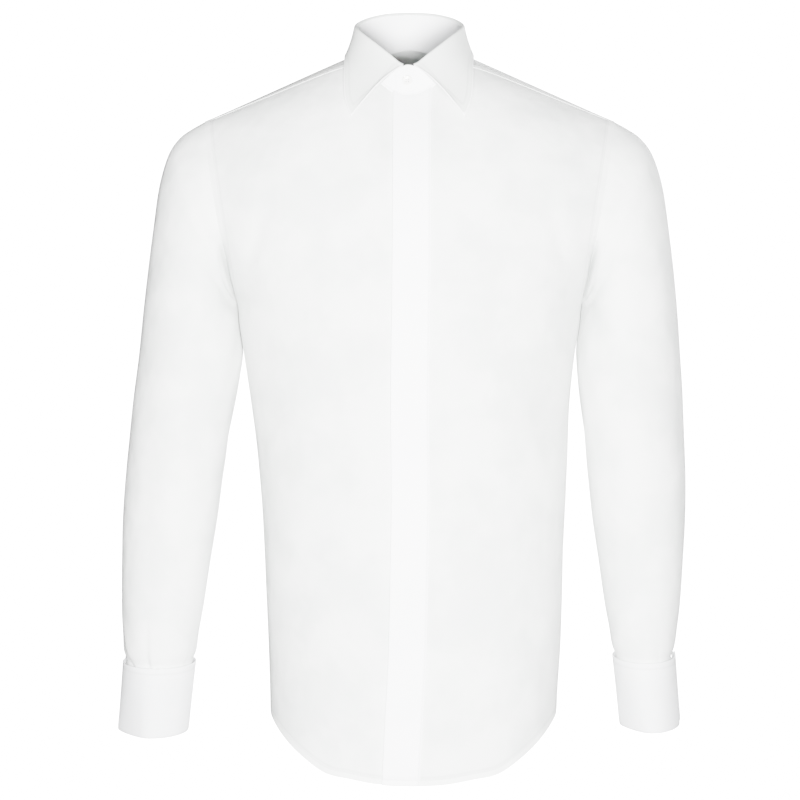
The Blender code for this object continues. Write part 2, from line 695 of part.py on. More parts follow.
def make_leaf():
    around = np.linspace(LEAF_START, 360 - LEAF_START, LEAF_STEPS + 1)
    place = fold_half(around)
    side = np.where(np.mod(around, 360) > 180, -1.0, 1.0)
    middle, out = stand_middle(around, read(STAND_TOP, "height", place))
    foot = neck_edge(around) - tucked(around) * out
    up = unit(middle - foot)
    along = unit(np.gradient(middle, axis=0))
    square = unit(np.cross(out, along))
    square *= np.sign(square[:, 2:])
    rows = []
    for angle in np.radians(np.linspace(180, 0, 5)):
        rows.append(middle + FOLD * (math.cos(angle) * out + math.sin(angle) * square))

    x = read(LEAF_EDGE, "across", place)
    turn = np.radians(read(LEAF_EDGE, "turn", place))
    step = 0.01
    across = turned(x + 1.0, turn) - turned(x - 1.0, turn)
    along = turned(x, turn + step) - turned(x, turn - step)
    normal = unit(np.cross(across, along))
    edge = turned(x, turn) + read(LEAF_EDGE, "proud", place)[:, None] * normal
    edge[:, 0] *= side
    start = rows[-1]
    drop = np.linalg.norm(edge - start, axis=-1, keepdims=True)
    bend = start - drop * (0.5 * up - LEAF_FLARE * out)
    weight = np.exp(-(place - LEAF_START) / LEAF_BEND_FADE)[:, None]
    front = np.stack([LEAF_FRONT_BEND[0] * side, *np.full((2, len(side)), 0.0)], -1)
    front[:, 1:] = LEAF_FRONT_BEND[1:]
    bend = bend * (1 - weight) + front * weight
    for share in np.linspace(0, 1, LEAF_DROP_STEPS + 1)[1:]:
        rows.append(start * (1 - share) ** 2 + 2 * bend * share * (1 - share) + edge * share**2)
    return panel(np.array(rows), BAND, (0.0, 500.0, 20.0))


def cuff_path(level, side):
    """Line round the wrist at a level, 0 at the rim and 1 at the fold, and its outward side.

    Both ends turn outwards and run side by side, where the links would go.
    """
    size = {name: CUFF_RIM[name] + (CUFF_END[name] - CUFF_RIM[name]) * level for name in CUFF_RIM}
    size["x"] += HANG[side]["out"][-1]
    size["z"] += WRIST_RAISE[side]
    size["wide"] += WRIST_WIDEN[side]
    away = CUFF_LIP_HALF + CUFF_LIP_ROUND
    reach = (size["wide"] + size["deep"]) / 2
    skip = math.asin(away / reach)
    angles = np.linspace(CUFF_GAP_AT + skip, CUFF_GAP_AT + 2 * math.pi - skip, CUFF_STEPS + 1)
    line = [(size["wide"] * math.cos(a), size["deep"] * math.sin(a)) for a in angles]
    axis = np.array([math.cos(CUFF_GAP_AT), math.sin(CUFF_GAP_AT)])
    square = np.array([-axis[1], axis[0]])
    lips = []
    for sign, end in ((1, line[0]), (-1, line[-1])):
        along = np.array(end) @ axis
        lip = []
        for bend in np.radians([30, 60, 90]):
            out = along + CUFF_LIP_ROUND * (1 - math.cos(bend))
            aside = away - CUFF_LIP_ROUND * math.sin(bend)
            lip.append(axis * out + sign * square * aside)
        lip.append(axis * (out + CUFF_LIP_LENGTH) + sign * square * CUFF_LIP_HALF)
        lips.append(lip)
    flat = np.array(lips[0][::-1] + line + lips[1])
    tangent = unit(np.gradient(flat, axis=0))
    outward = np.stack([tangent[:, 1], -tangent[:, 0]], -1)
    return flat, outward, size


def make_cuff(name, side, colour):
    depth = CUFF_RIM["z"] - CUFF_END["z"]
    columns = []
    for out, down in zip(CUFF_SECTION["out"], CUFF_SECTION["down"]):
        flat, outward, size = cuff_path(down / depth, side)
        flat = flat + out * outward
        y = -flat[:, 1]
        x = size["x"] + flat[:, 0]
        columns.append(np.stack([side * x, size["y"] + y, size["z"] + CUFF_TILT * y], -1))
    grid = np.array(columns)
    rows, count = grid.shape[:2]
    faces = []
    for row, column in np.ndindex(rows, count - 1):
        here, below = row * count + column, (row + 1) % rows * count + column
        faces.append((here, here + 1, below + 1, below))
    faces.append(tuple(row * count for row in range(rows)))
    faces.append(tuple(row * count + count - 1 for row in reversed(range(rows))))
    if side == RIGHT:
        faces = [face[::-1] for face in faces]
    node(name, grid.reshape(-1, 3), faces, colour)


def make_button(name, centre, normal, colour):
    """A turned button with a raised rim and a dished face."""
    profile = [
        (0.0, 0.0),
        (0.75, 0.0),
        (1.0, 0.3),
        (1.0, 0.75),
        (0.92, 1.0),
        (0.72, 1.0),
        (0.6, 0.72),
        (0.0, 0.72),
    ]
    steps = 24
    normal = unit(np.array(normal, float))
    side = unit(np.cross(normal, (0.0, 0.0, 1.0)))
    up = np.cross(side, normal)
    vertices, faces = [], []
    for radius, height in profile:
        for turn in 2 * math.pi * np.arange(steps) / steps:
            spoke = side * math.cos(turn) + up * math.sin(turn)
            point = centre + normal * height * BUTTON_THICK + spoke * radius * BUTTON_RADIUS
            vertices.append(point)
            if radius == 0:
                break
    rings = [[0]]
    first = 1
    for _ in profile[1:-1]:
        rings.append(list(range(first, first + steps)))
        first += steps
    rings.append([first])
    for low, high in zip(rings, rings[1:]):
        for k in range(steps):
            a, b = low[k % len(low)], low[(k + 1) % len(low)]
            c, d = high[(k + 1) % len(high)], high[k % len(high)]
            faces.append(tuple(dict.fromkeys((b, a, d, c))))
    node(name, vertices, faces, colour, roughness=0.25)


def build():
    for old in list(bpy.data.objects):
        bpy.data.objects.remove(old)
    cloth = (0.86, 0.88, 0.89)
    crisp = (0.9, 0.91, 0.94)

    over_strip, over_main = make_front(LEFT, OVER_LAP)
    under_strip, under_main = make_front(RIGHT, UNDER_LAP)
    back_left, yoke_left = make_back(), make_yoke()
    back_right = {name: values.copy() for name, values in back_left.items()}
    yoke_right = {name: values.copy() for name, values in yoke_left.items()}
    sink_under_lap(under_strip, under_main)
    sleeves = {LEFT: make_sleeve(LEFT), RIGHT: make_sleeve(RIGHT)}

    sides = (
        (LEFT, over_main, back_left, yoke_left),
        (RIGHT, under_main, back_right, yoke_right),
    )
    for side, front, back, yoke in sides:
        sew(front, np.s_[-1, :], np.s_[-2, :], yoke, np.s_[0, :])
        sew(back, np.s_[-1, :], np.s_[-2, :], yoke, np.s_[-1, :])
        low = np.s_[: LOWER_ROWS + 1, -1]
        sew(front, low, np.s_[: LOWER_ROWS + 1, -2], back, low)
        join_armhole(front, back, yoke, sleeves[side])
        for sheet in (back, yoke):
            flat = sheet["inward"][:, 0] * (0, 1, 1)
            middle = sheet["points"][:, 0, 0] == 0
            sheet["inward"][middle, 0] = WALL * unit(flat[middle])

    wall("front_left", [swayed(over_strip), swayed(over_main)], cloth)
    wall("front_right", [swayed(mirrored(under_strip)), swayed(mirrored(under_main))], cloth)
    wall("fly_placket", [swayed(moved_out(over_strip, PLACKET_GAP, WALL))], crisp)
    wall("back", [swayed(back_left), swayed(mirrored(back_right))], cloth)
    wall("yoke", [yoke_left, mirrored(yoke_right)], cloth)
    for side, word in ((LEFT, "left"), (RIGHT, "right")):
        sleeve = sleeves[side]
        patch = {name: values[GAUNTLET_STATIONS, GAUNTLET_STEPS] for name, values in sleeve.items()}
        patch = moved_out(patch, SEAM, WALL)
        if side == RIGHT:
            sleeve, patch = mirrored(sleeve), mirrored(patch)
        wall("sleeve_" + word, [sleeve], cloth, round_tube=True)
        wall("sleeve_placket_" + word, [patch], cloth)
        make_cuff("cuff_" + word, side, crisp)

    stand = make_stand()
    wall("collar_stand", [stand], crisp)
    wall("collar_leaf", [make_leaf()], crisp)
    column = int(np.argmin(np.abs(stand["points"][-1, :, 0][: STAND_STEPS // 4])))
    upper, lower = stand["points"][2, column], stand["points"][1, column]
    normal = -unit(stand["inward"][1, column])
    make_button("collar_button", (upper + lower) / 2 + SEAM * normal, normal, (0.93, 0.93, 0.9))


build()
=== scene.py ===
"""The long sleeve dress shirt as sewn and pressed: thin poplin on the solid shirt's form.

Tables and sizes are in millimetres and become metres when a mesh is made, and the finishes are
in metres. +Z is up, the front faces -Y and +X is the wearer's left.
"""

import math
from functools import partialmethod

import bmesh
import bpy
import numpy as np
from mathutils import Matrix, Vector


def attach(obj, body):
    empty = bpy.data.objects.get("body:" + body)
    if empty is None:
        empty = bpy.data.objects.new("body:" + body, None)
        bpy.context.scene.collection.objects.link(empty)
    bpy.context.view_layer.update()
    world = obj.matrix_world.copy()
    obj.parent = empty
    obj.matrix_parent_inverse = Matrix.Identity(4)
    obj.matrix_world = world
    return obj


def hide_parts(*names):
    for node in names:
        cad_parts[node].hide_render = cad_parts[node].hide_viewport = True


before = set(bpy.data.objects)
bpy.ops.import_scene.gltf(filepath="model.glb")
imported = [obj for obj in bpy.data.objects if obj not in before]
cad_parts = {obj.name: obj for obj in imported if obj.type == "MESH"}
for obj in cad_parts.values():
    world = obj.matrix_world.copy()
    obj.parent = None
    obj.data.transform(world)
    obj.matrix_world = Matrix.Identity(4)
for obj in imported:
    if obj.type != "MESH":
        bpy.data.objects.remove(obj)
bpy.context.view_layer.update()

MM = 0.001


def table(columns, *rows):
    """One array for each named column. The first column is the place that rows are read at."""
    return dict(zip(columns.split(), np.array(rows, float).T))


def read(chart, name, at):
    """A column of a table at any place, on a smooth curve through its rows."""
    places, values = next(iter(chart.values())), chart[name]
    slopes = np.gradient(values, places)
    row = np.clip(np.searchsorted(places, at) - 1, 0, len(places) - 2)
    step = places[row + 1] - places[row]
    t = np.clip((at - places[row]) / step, 0, 1)
    start = (1 + 2 * t) * (1 - t) ** 2 * values[row] + t * (1 - t) ** 2 * step * slopes[row]
    end = t**2 * (3 - 2 * t) * values[row + 1] - t**2 * (1 - t) * step * slopes[row + 1]
    return start + end


def between(start, end, share):
    return start + (end - start) * share


def smooth(share):
    """A soft step from 0 to 1."""
    return share**2 * (3 - 2 * share)


def falloff(distance, width):
    """1 on an edge, and smoothly 0 from width on."""
    return 1 - smooth(np.clip(distance / width, 0, 1))


def unit(vectors):
    return vectors / np.linalg.norm(vectors, axis=-1, keepdims=True)


# --- sizes of the shirt

WALL, SEAM, BAND = 1.2, 0.3, 1.5  # of the solid shirt: one panel, the gap beside it, the collar
FRONT, BACK = -1, 1
LEFT, RIGHT = 1, -1
# The worn body. Above the armpit half_width is that of the plan curve which the armholes cut.
ARMPIT = -253.0
TORSO = table(
    "height half_width front back sway",
    (-790, 155.5, 112, 113, 4.5), (-690, 156.5, 112, 113, 4.8), (-630, 159, 112, 112, 5.7),
    (-580, 160.6, 112, 111, 5.4), (-527, 162, 112, 110, 4.9), (-475, 164.4, 113, 110, 4.7),
    (-423, 167.6, 115, 112, 3.4), (-371, 171.4, 117, 115, 1.2), (-319, 177.6, 118, 117, 0),
    (-285, 182.5, 118, 118, 0), (ARMPIT, 187, 118, 118, 0), (-235, 197, 118, 118, 0),
    (-205, 214, 118, 118, 0), (-165, 232, 118, 118, 0), (60, 240, 118, 118, 0),
)
ROUNDING = 2.4  # power of the plan curve: 2 is an ellipse, more is squarer
RIDGE_TOP, RIDGE_SLOPE, RIDGE_ROUND = 31.5, 0.447, 12.0  # the shoulder lines, and where they meet
ROLL = 2.6  # power of the curve from the armpit's height over to the shoulder line
FRONT_LIFT, BACK_LIFT = -37.5, 28.5  # the neck edge drops at the front and climbs at the back
BACK_LIFT_POWER, LIFT_SPREAD = 5, 45.0  # keep the climb close to the neck
HEM = table(
    "share front back",
    (0, -765, -780), (0.2, -764, -779), (0.42, -759, -774), (0.6, -754, -768), (0.74, -741, -752),
    (0.88, -724, -730), (1, -705, -705),
)
ARM_STEPS = 144  # round the armhole and the sleeve
PIT_X, TIP_X = 187.0, 219.0  # armhole seam at the armpit and at the shoulder
LOWER_ROWS = 128  # hem to armpit
COLUMNS = 40  # placket or middle to side seam
EVEN = np.linspace(0, 1, COLUMNS + 1)
# The yoke's seams: armhole steps up to them, turns of their inner ends from the shoulder ridge,
# and their bow. The front seam is straight, and the back one bows down at its ends.
SEAM_STEP = {FRONT: 68, BACK: 52}
YOKE_TURN = {FRONT: math.radians(14.5), BACK: math.radians(53.5)}
SEAM_BOW = {FRONT: 1, BACK: 2}
NECK_CORNER_STEP = 56  # where a front's inner line meets the neck edge
NECK_HALF, NECK_FRONT, NECK_BACK = 61.0, 60.0, 61.0
YOKE_HALVES = 2  # yoke rows to an armhole step
# The middle of the fly placket across the body, and the columns of both fronts beside it.
PLACKET = table(
    "height middle",
    (-770, -11.4), (-680, -7.5), (-625, -5.5), (-560, -3.5), (-420, 0), (-320, 3), (-250, 4),
    (60, 4),
)
OVER_LAP, UNDER_LAP = np.linspace(-20.0, 20.0, 15), np.linspace(-15.0, 24.0, 14)
UNDER_DEPTH = WALL + 2 * SEAM
# Stations of a sleeve: outer and inner end of the ring in the front view, its middle from
# front to back, its half depth and how far its front edge hangs below its back edge.
SLEEVE = table(
    "station outer_x outer_z inner_x inner_z middle_y depth tilt",
    (0, 219, -67.3, 187, -253, 0, 61, 0), (1, 233, -75, 188, -255.5, 0, 63, 0),
    (2, 245.5, -83.5, 189, -258, 0, 64, 0), (3, 256.5, -97, 189.8, -261, -1, 64.5, 0),
    (4, 264.5, -116, 190, -265, -1, 65, 0), (5, 271, -142, 188.8, -270, -2, 65.5, 0),
    (6, 276.5, -180, 186.6, -277, -3, 65.5, 0), (7, 282, -222, 184.4, -287, -4, 65.5, 0),
    (8, 287, -268, 182, -301, -6, 65, 0), (9, 291.5, -318, 180.2, -321, -8, 64, 0),
    (10, 295.5, -358, 184, -358, -11, 62, 0), (11, 298.5, -400, 190, -400, -15, 60, 0),
    (12, 301, -445, 196, -445, -21, 57.5, 0), (13, 301.5, -490, 201.2, -490, -28, 54.5, 0.01),
    (14, 299.8, -535, 208, -535, -36, 51, 0.02), (15, 297.5, -580, 214.5, -580, -43, 47, 0.04),
    (16, 295, -608, 219.5, -608, -47.5, 43.5, 0.05),
    (17, 293, -627.5, 222.5, -627.5, -50.5, 38.5, 0.06),
    (18, 289.4, -638.5, 226.6, -638.5, -52, 34.3, 0.06),
    (19, 288.6, -647.5, 227.4, -647.5, -53, 33.5, 0.06),
)
SEAM_FADE = 8  # stations over which the armhole's own outline turns into an oval
SLEEVE_CALM = 1.5  # stations over which the folds set in
# How the two sleeves differ: how far each hangs out, how much wider and how much higher its
# wrist is. The last two grow between the wrist stations.
HANG = {
    LEFT: table("station out", (0, 0), (9, 0), (11, -2.7), (12.5, -4), (17, -6), (19, -6)),
    RIGHT: table("station out", (0, 0), (9, 0), (11, 2.7), (12.5, 5), (17, 9.5), (19, 9.5)),
}
WRIST_STATIONS = (12.0, 17.0)
WRIST_WIDEN = {LEFT: -1.3, RIGHT: 4.5}
WRIST_RAISE = {LEFT: 5.0, RIGHT: -3.0}
CUFF_STEPS = 96
CUFF_GAP_AT = math.radians(-35.0)  # the link side, behind the outer edge
CUFF_LIP_HALF, CUFF_LIP_ROUND, CUFF_LIP_LENGTH = 2.0, 6.0, 3.5
CUFF_RIM = {"x": 258.0, "y": -52.0, "z": -639.5, "wide": 30.8, "deep": 33.7}
CUFF_END = {"x": 264.5, "y": -61.0, "z": -713.0, "wide": 31.2, "deep": 33.0}
CUFF_TILT = 0.06
# The collar. around is the place round the neck: 0 front, 90 the wearer's left, 180 back. The
# last row mirrors the one before the back, so that the curve is level across the middle.
STAND_TOP = table(
    "around height",
    (0, -9.5), (9, -7), (22, 2.5), (45, 17.5), (70, 28.5), (90, 33.5), (113, 39), (135, 44.2),
    (156, 47.8), (180, 48.8), (204, 47.8),
)
STAND_HALF, STAND_FRONT, STAND_BACK = 57.0, 57.5, 56.5
STAND_OVER, STAND_UNDER, STAND_STEPS = -13.0, 372.0, 192
TUCK_FROM, TUCK_TO = 300.0, 340.0
FOLD = WALL / 2 + SEAM + BAND  # outer radius of the fold over the stand
LEAF_START, LEAF_STEPS, LEAF_DROP_STEPS = 6.0, 160, 24
LEAF_EDGE = table(
    "around across turn proud",
    (6, 59.5, -40, 4.2), (20, 65.5, -33.5, 4.2), (38, 67.5, -26.5, 4.2), (60, 67.5, -16, 4.2),
    (90, 67, 0, 4.2), (113, 61.5, 10.7, 5.1), (135, 47.6, 19.3, 7.4), (156, 27.2, 26.4, 7.5),
    (180, 0, 30.4, 5.3), (204, -27.2, 26.4, 7.5),
)
LEAF_FRONT_BEND, LEAF_BEND_FADE = (27.0, -71.0, -13.0), 15.0
LEAF_FLARE = 0.04  # how far it leaves the stand below the fold, for each unit of its drop
BUTTON_RADIUS, BUTTON_THICK = 5.4, 2.2

# --- the shirt's form


def ridge(x):
    """Height of the shoulder line."""
    return RIDGE_TOP - RIDGE_SLOPE * np.sqrt(x**2 + RIDGE_ROUND**2)


def height_at(x, rise):
    """Height at a share of the way from the armpit up to the shoulder line."""
    return between(ARMPIT, ridge(x), rise)


def rise_at(x, height):
    return (height - ARMPIT) / (ridge(x) - ARMPIT)


def half_width(height):
    return read(TORSO, "half_width", height)


def depth_at(height, face):
    return np.where(face < 0, read(TORSO, "front", height), read(TORSO, "back", height))


def plan(share):
    """The plan curve: how much of one half axis is left at a share of the other."""
    return (1 - np.clip(np.abs(share), 0, 1) ** ROUNDING) ** (1 / ROUNDING)


def body(x, height, face):
    """Points of the worn body. height is a point's height before the neck's lift."""
    rise = np.clip(rise_at(x, height), 0, 1)
    roll = np.sqrt(1 - rise**ROLL)
    lift = np.where(face < 0, FRONT_LIFT * rise, BACK_LIFT * rise**BACK_LIFT_POWER)
    lift *= 2 * roll * np.exp(-((x / LIFT_SPREAD) ** 2))
    y = face * depth_at(height, face) * plan(x / half_width(height)) * roll
    return np.stack([x, y, height + lift], -1)


def turned(x, turn):
    """Points of the body above the armpit: turn goes from the ridge, minus to the front."""
    return body(x, height_at(x, np.cos(turn)), np.sign(turn))


def turn_at(share):
    """The turn at which the body has this share of its depth, minus to the front."""
    return np.sign(share) * np.arccos((1 - share**2) ** (1 / ROLL))


def neck_depth(x):
    return read(TORSO, "front", 0.0) * plan(x / half_width(0.0))


def neck_height(x):
    """Height, before the lift, of the neck edge at the front."""
    y = NECK_FRONT * np.sqrt(np.clip(1 - (x / NECK_HALF) ** 2, 0, 1))
    return height_at(x, np.cos(turn_at(y / neck_depth(x))))


def neck_place(angle):
    """x and turn of the neck edge, at an angle round the neck from the front."""
    x = NECK_HALF * np.sin(angle)
    reach = np.where(np.cos(angle) > 0, NECK_FRONT, NECK_BACK)
    return x, turn_at(-reach * np.cos(angle) / neck_depth(x))


def neck_edge(around):
    """Points of the neck edge on the body, around the neck in degrees from the front."""
    return turned(*neck_place(np.radians(around)))


def front_neck_end():
    """The place on the neck edge where the front yoke seam starts."""
    y = read(TORSO, "front", 0.0) * math.sqrt(1 - math.cos(YOKE_TURN[FRONT]) ** ROLL)
    return NECK_HALF * math.sqrt(1 - (y / NECK_FRONT) ** 2)


def armhole(step):
    """x and height of the armhole seam, at steps from the armpit."""
    rise = np.sin(math.pi * step / ARM_STEPS) ** 2
    x = between(PIT_X, TIP_X, rise)
    return x, height_at(x, rise)


def yoke_seam(face):
    """x and turn along a yoke seam, from its inner end to the armhole."""
    start_x = front_neck_end() if face == FRONT else 0.0
    start = height_at(start_x, math.cos(YOKE_TURN[face]))
    end_x, end = armhole(SEAM_STEP[face])
    x = between(start_x, end_x, EVEN)
    return x, face * np.arccos(rise_at(x, between(start, end, EVEN ** SEAM_BOW[face])))


def across_lower(first, width):
    """x of columns at equal turns round the plan curve, from first to the side seam."""
    share = first / width
    start = np.sign(share) * np.arcsin(np.abs(share) ** (ROUNDING / 2))
    turns = np.linspace(start, math.pi / 2, COLUMNS + 1)
    return width * np.sign(turns) * np.abs(np.sin(turns)) ** (2 / ROUNDING)


def hem_height(share, face):
    """Height of the hem at a share of the body's half width."""
    return read(HEM, "front" if face < 0 else "back", np.abs(share))


def torso_grid(face, inner_line, edge_top):
    """x and height of a front or back panel, in rows from its inner line to side and armhole.

    inner_line gives x at a height, and edge_top lists (x, height) on the neck edge. The upper
    rows are bent smoothly, so that the last one lies on the yoke seam.
    """
    rows = []
    for level in np.arange(LOWER_ROWS) / LOWER_ROWS:
        guess = between(HEM["front"][0], ARMPIT, level)
        share = across_lower(inner_line(guess), half_width(guess)) / half_width(guess)
        height = between(hem_height(share, face), ARMPIT, level)
        rows.append((share * half_width(height), height))
    pit_x = across_lower(inner_line(ARMPIT), PIT_X)
    pit_share = (pit_x - pit_x[0]) / (pit_x[-1] - pit_x[0])
    corner = SEAM_STEP[face] + 1 - len(edge_top)
    for step in range(SEAM_STEP[face] + 1):
        if step <= corner:
            start = between(ARMPIT, edge_top[0][1], step / corner)
            first_x = inner_line(start)
        else:
            first_x, start = edge_top[step - corner]
        end_x, end = armhole(step)
        share = between(pit_share, EVEN, step / SEAM_STEP[face])
        rows.append((between(first_x, end_x, share), between(start, end, share)))
    grid = np.array(rows).transpose(1, 0, 2)
    upper = grid[:, LOWER_ROWS:]
    x, turn = yoke_seam(face)
    seam = np.stack([x, height_at(x, np.cos(turn))])[:, None]
    pull = (np.arange(1, upper.shape[1] + 1) / upper.shape[1])[:, None] ** 2
    upper += pull * (seam - upper[:, -1:])
    return grid


def panel(points, thickness, outward):
    """A panel's outer points and the vectors into its cloth. outward is a point outside it."""
    normals = unit(np.cross(np.gradient(points, axis=0), np.gradient(points, axis=1)))
    middle = tuple(n // 2 for n in points.shape[:2])
    if normals[middle] @ (np.array(outward) - points[middle]) < 0:
        normals = -normals
    return {"points": points, "inward": -thickness * normals}


def make_front(side, laps):
    """Strip beside the opening and main part of a front, with x towards its own side seam."""

    def inner_line(height):
        return side * read(PLACKET, "middle", height) + laps[-1]

    top_x = inner_line(-20.0) - laps[-1] + laps
    ends = [math.asin(x / NECK_HALF) for x in (top_x[-1], front_neck_end())]
    edge_x = NECK_HALF * np.sin(np.linspace(*ends, SEAM_STEP[FRONT] - NECK_CORNER_STEP + 1))
    edge_top = list(zip(edge_x, neck_height(edge_x)))
    x, height = torso_grid(FRONT, inner_line, edge_top)
    main = body(x, height, FRONT)

    rows = LOWER_ROWS + NECK_CORNER_STEP + 1
    level = np.arange(rows)[:, None] / LOWER_ROWS
    x, height = x[:rows, :1] - laps[-1] + laps, height[:rows, :1]
    lower = between(hem_height(x / half_width(HEM["front"][0]), FRONT), ARMPIT, level)
    lower += height - lower[:, -1:]
    rise = (height - ARMPIT) / (edge_top[0][1] - ARMPIT)
    upper = between(ARMPIT, neck_height(top_x), rise)
    strip = body(x, np.where(level < 1, lower, upper), FRONT)
    main[:rows, 0] = strip[:, -1]
    strip, main = (panel(points, WALL, (100.0, -500.0, -300.0)) for points in (strip, main))
    shared = WALL * unit(strip["inward"][:, -1] + main["inward"][:rows, 0])
    strip["inward"][:, -1] = main["inward"][:rows, 0] = shared
    return strip, main


def sink_under_lap(strip, main):
    """Takes the right front's edge in under the left one."""
    depth = UNDER_DEPTH / WALL
    strip["points"] += depth * strip["inward"]
    rows, count = len(strip["points"]), len(main["points"])
    main["points"][:rows, 0] = strip["points"][:, -1]
    fade = 1 - np.arange(1, count - rows + 1)[:, None] / (count - rows)
    main["points"][rows:, 0] += depth * fade * main["inward"][rows:, 0]


def make_back():
    """Half of the back, from the middle line to the wearer's left side."""
    top = (0.0, height_at(0.0, math.cos(YOKE_TURN[BACK])))
    points = body(*torso_grid(BACK, lambda height: 0.0, [top]), BACK)
    return panel(points, WALL, (100.0, 500.0, -300.0))


def make_yoke():
    """Half of the yoke: rows go from the front seam over the ridge to the back seam."""
    step = np.arange(SEAM_STEP[FRONT], ARM_STEPS - SEAM_STEP[BACK] + 1)
    x, height = armhole(np.minimum(step, ARM_STEPS - step))
    turn = np.copysign(np.arccos(np.minimum(1, rise_at(x, height))), step - ARM_STEPS / 2)
    count = (len(step) - 1) * YOKE_HALVES
    places = np.linspace(0, len(step) - 1, count + 1)
    outer = np.stack([np.interp(places, range(len(step)), ends) for ends in (x, turn)])
    neck_rows = count * 5 // 6  # enough that no row runs along the neck's edge
    start = math.asin(front_neck_end() / NECK_HALF)
    neck = np.stack(neck_place(np.linspace(start, math.pi, neck_rows + 1)))
    middle = np.linspace(neck[1, -1], YOKE_TURN[BACK], count - neck_rows + 1)[1:]
    inner = np.concatenate([neck, [0 * middle, middle]], axis=1)
    grid = between(inner[..., None], outer[..., None], EVEN)
    grid[:, 0], grid[:, -1] = yoke_seam(FRONT), yoke_seam(BACK)
    points = turned(*grid)
    corners = points[::YOKE_HALVES, -1]
    points[1::YOKE_HALVES, -1] = (corners[:-1] + corners[1:]) / 2
    return panel(points, WALL, (150.0, 0.0, 500.0))


AROUND = 2 * math.pi * np.arange(ARM_STEPS) / ARM_STEPS
DEGREES = 360 * np.arange(-1, ARM_STEPS + 1) / ARM_STEPS  # round a closed and overlapped ring


def sleeve_ring(station):
    """Points of one sleeve ring, from outside round the front, inside and back."""
    value = {name: read(SLEEVE, name, station) for name in SLEEVE}
    x, z = (
        (value["outer_" + axis] + value["inner_" + axis]) / 2
        + (value["outer_" + axis] - value["inner_" + axis]) / 2 * np.cos(AROUND)
        for axis in "xz"
    )
    y = -value["depth"] * np.sin(AROUND)
    return np.stack([x, value["middle_y"] + y, z + value["tilt"] * y], -1)


def armhole_ring():
    steps = np.arange(ARM_STEPS)
    x, height = armhole(np.abs(ARM_STEPS / 2 - steps))
    return body(x, height, np.where(steps <= ARM_STEPS / 2, FRONT, BACK))


def mirrored(sheet):
    """The same panel on the other side of the shirt."""
    return {name: (values * (-1.0, 1.0, 1.0))[:, ::-1] for name, values in sheet.items()}


def joined(left):
    """Both halves of a middle piece as one grid, from the right side seam to the left."""
    right = mirrored(left)
    return {name: np.concatenate([right[name][:, :-1], left[name]], axis=1) for name in left}


def outward_of(sheet):
    return -unit(sheet["inward"])


def moved_out(sheet, gap, thickness):
    """A second layer on a panel: its inner face lies gap outside the panel's outer face."""
    out = outward_of(sheet)
    return {"points": sheet["points"] + (gap + thickness) * out, "inward": -thickness * out}


def tucked(around):
    """How far the collar's right end lies in, to pass under its left end."""
    share = np.clip((around - TUCK_FROM) / (TUCK_TO - TUCK_FROM), 0, 1)
    return (UNDER_DEPTH * smooth(share))[:, None]


def stand_middle(around, top_height):
    """Middle line of the stand's top edge and the direction out of the neck there."""
    angle = np.radians(around)
    out = np.stack([np.sin(angle), -np.cos(angle), np.zeros_like(angle)], -1)
    reach = np.where(np.cos(angle) > 0, STAND_FRONT, STAND_BACK)
    points = np.stack([STAND_HALF * out[:, 0], reach * out[:, 1], top_height], -1)
    return points - tucked(around) * out, out


def fold_half(around):
    """The place from 0 at the front to 180 at the back, the same on both sides."""
    wrapped = np.mod(around, 360)
    return np.minimum(wrapped, 360 - wrapped)


def cuff_path(level, side):
    """Line round the wrist at a level, 0 at the rim and 1 at the fold, and its outward side.

    Both ends turn outwards and run side by side, where the links would go.
    """
    size = {name: between(CUFF_RIM[name], CUFF_END[name], level) for name in CUFF_RIM}
    size["x"] += HANG[side]["out"][-1]
    size["z"] += WRIST_RAISE[side]
    size["wide"] += WRIST_WIDEN[side]
    away = CUFF_LIP_HALF + CUFF_LIP_ROUND
    skip = math.asin(away / ((size["wide"] + size["deep"]) / 2))
    angles = np.linspace(CUFF_GAP_AT + skip, CUFF_GAP_AT + 2 * math.pi - skip, CUFF_STEPS + 1)
    line = np.stack([size["wide"] * np.cos(angles), size["deep"] * np.sin(angles)], -1)
    axis = np.array([math.cos(CUFF_GAP_AT), math.sin(CUFF_GAP_AT)])
    square = np.array([-axis[1], axis[0]])
    bend = np.radians([30, 60, 90, 90])[:, None]
    out = CUFF_LIP_ROUND * (1 - np.cos(bend))
    out[-1] += CUFF_LIP_LENGTH
    aside = away - CUFF_LIP_ROUND * np.sin(bend)
    first, last = (
        axis * (end @ axis + out) + sign * square * aside
        for sign, end in ((1, line[0]), (-1, line[-1]))
    )
    flat = np.concatenate([first[::-1], line, last])
    tangent = unit(np.gradient(flat, axis=0))
    return flat, np.stack([tangent[:, 1], -tangent[:, 0]], -1), size


# --- the cloth as it is worn

CLOTH = 0.5  # thickness of one panel of poplin
DOUBLE = 1.3  # folded and fused: placket, collar and cuffs
LAP_RISE = 0.45  # how far a lapping seam edge stands over its neighbour
LAP_WIDTH = 17.0
FREE_OF_FOLDS = 26.0  # from a panel's edges inwards
# Each point of a piece carries its distance to the nearest edge of each kind, and the run there.
FIELDS = ("armhole", "seam", "hem", "edge", "tack", "hole")
FAR = 1000.0  # the distance to an edge that a piece doesn't have
SLEEVE_ROWS = 114
SLEEVE_STATIONS = np.linspace(0, SLEEVE["station"][-1], SLEEVE_ROWS + 1)

FOLD_FULL, FOLD_FADE = 0.35, 3.2  # how much of a fold is full, and how fast its ends go
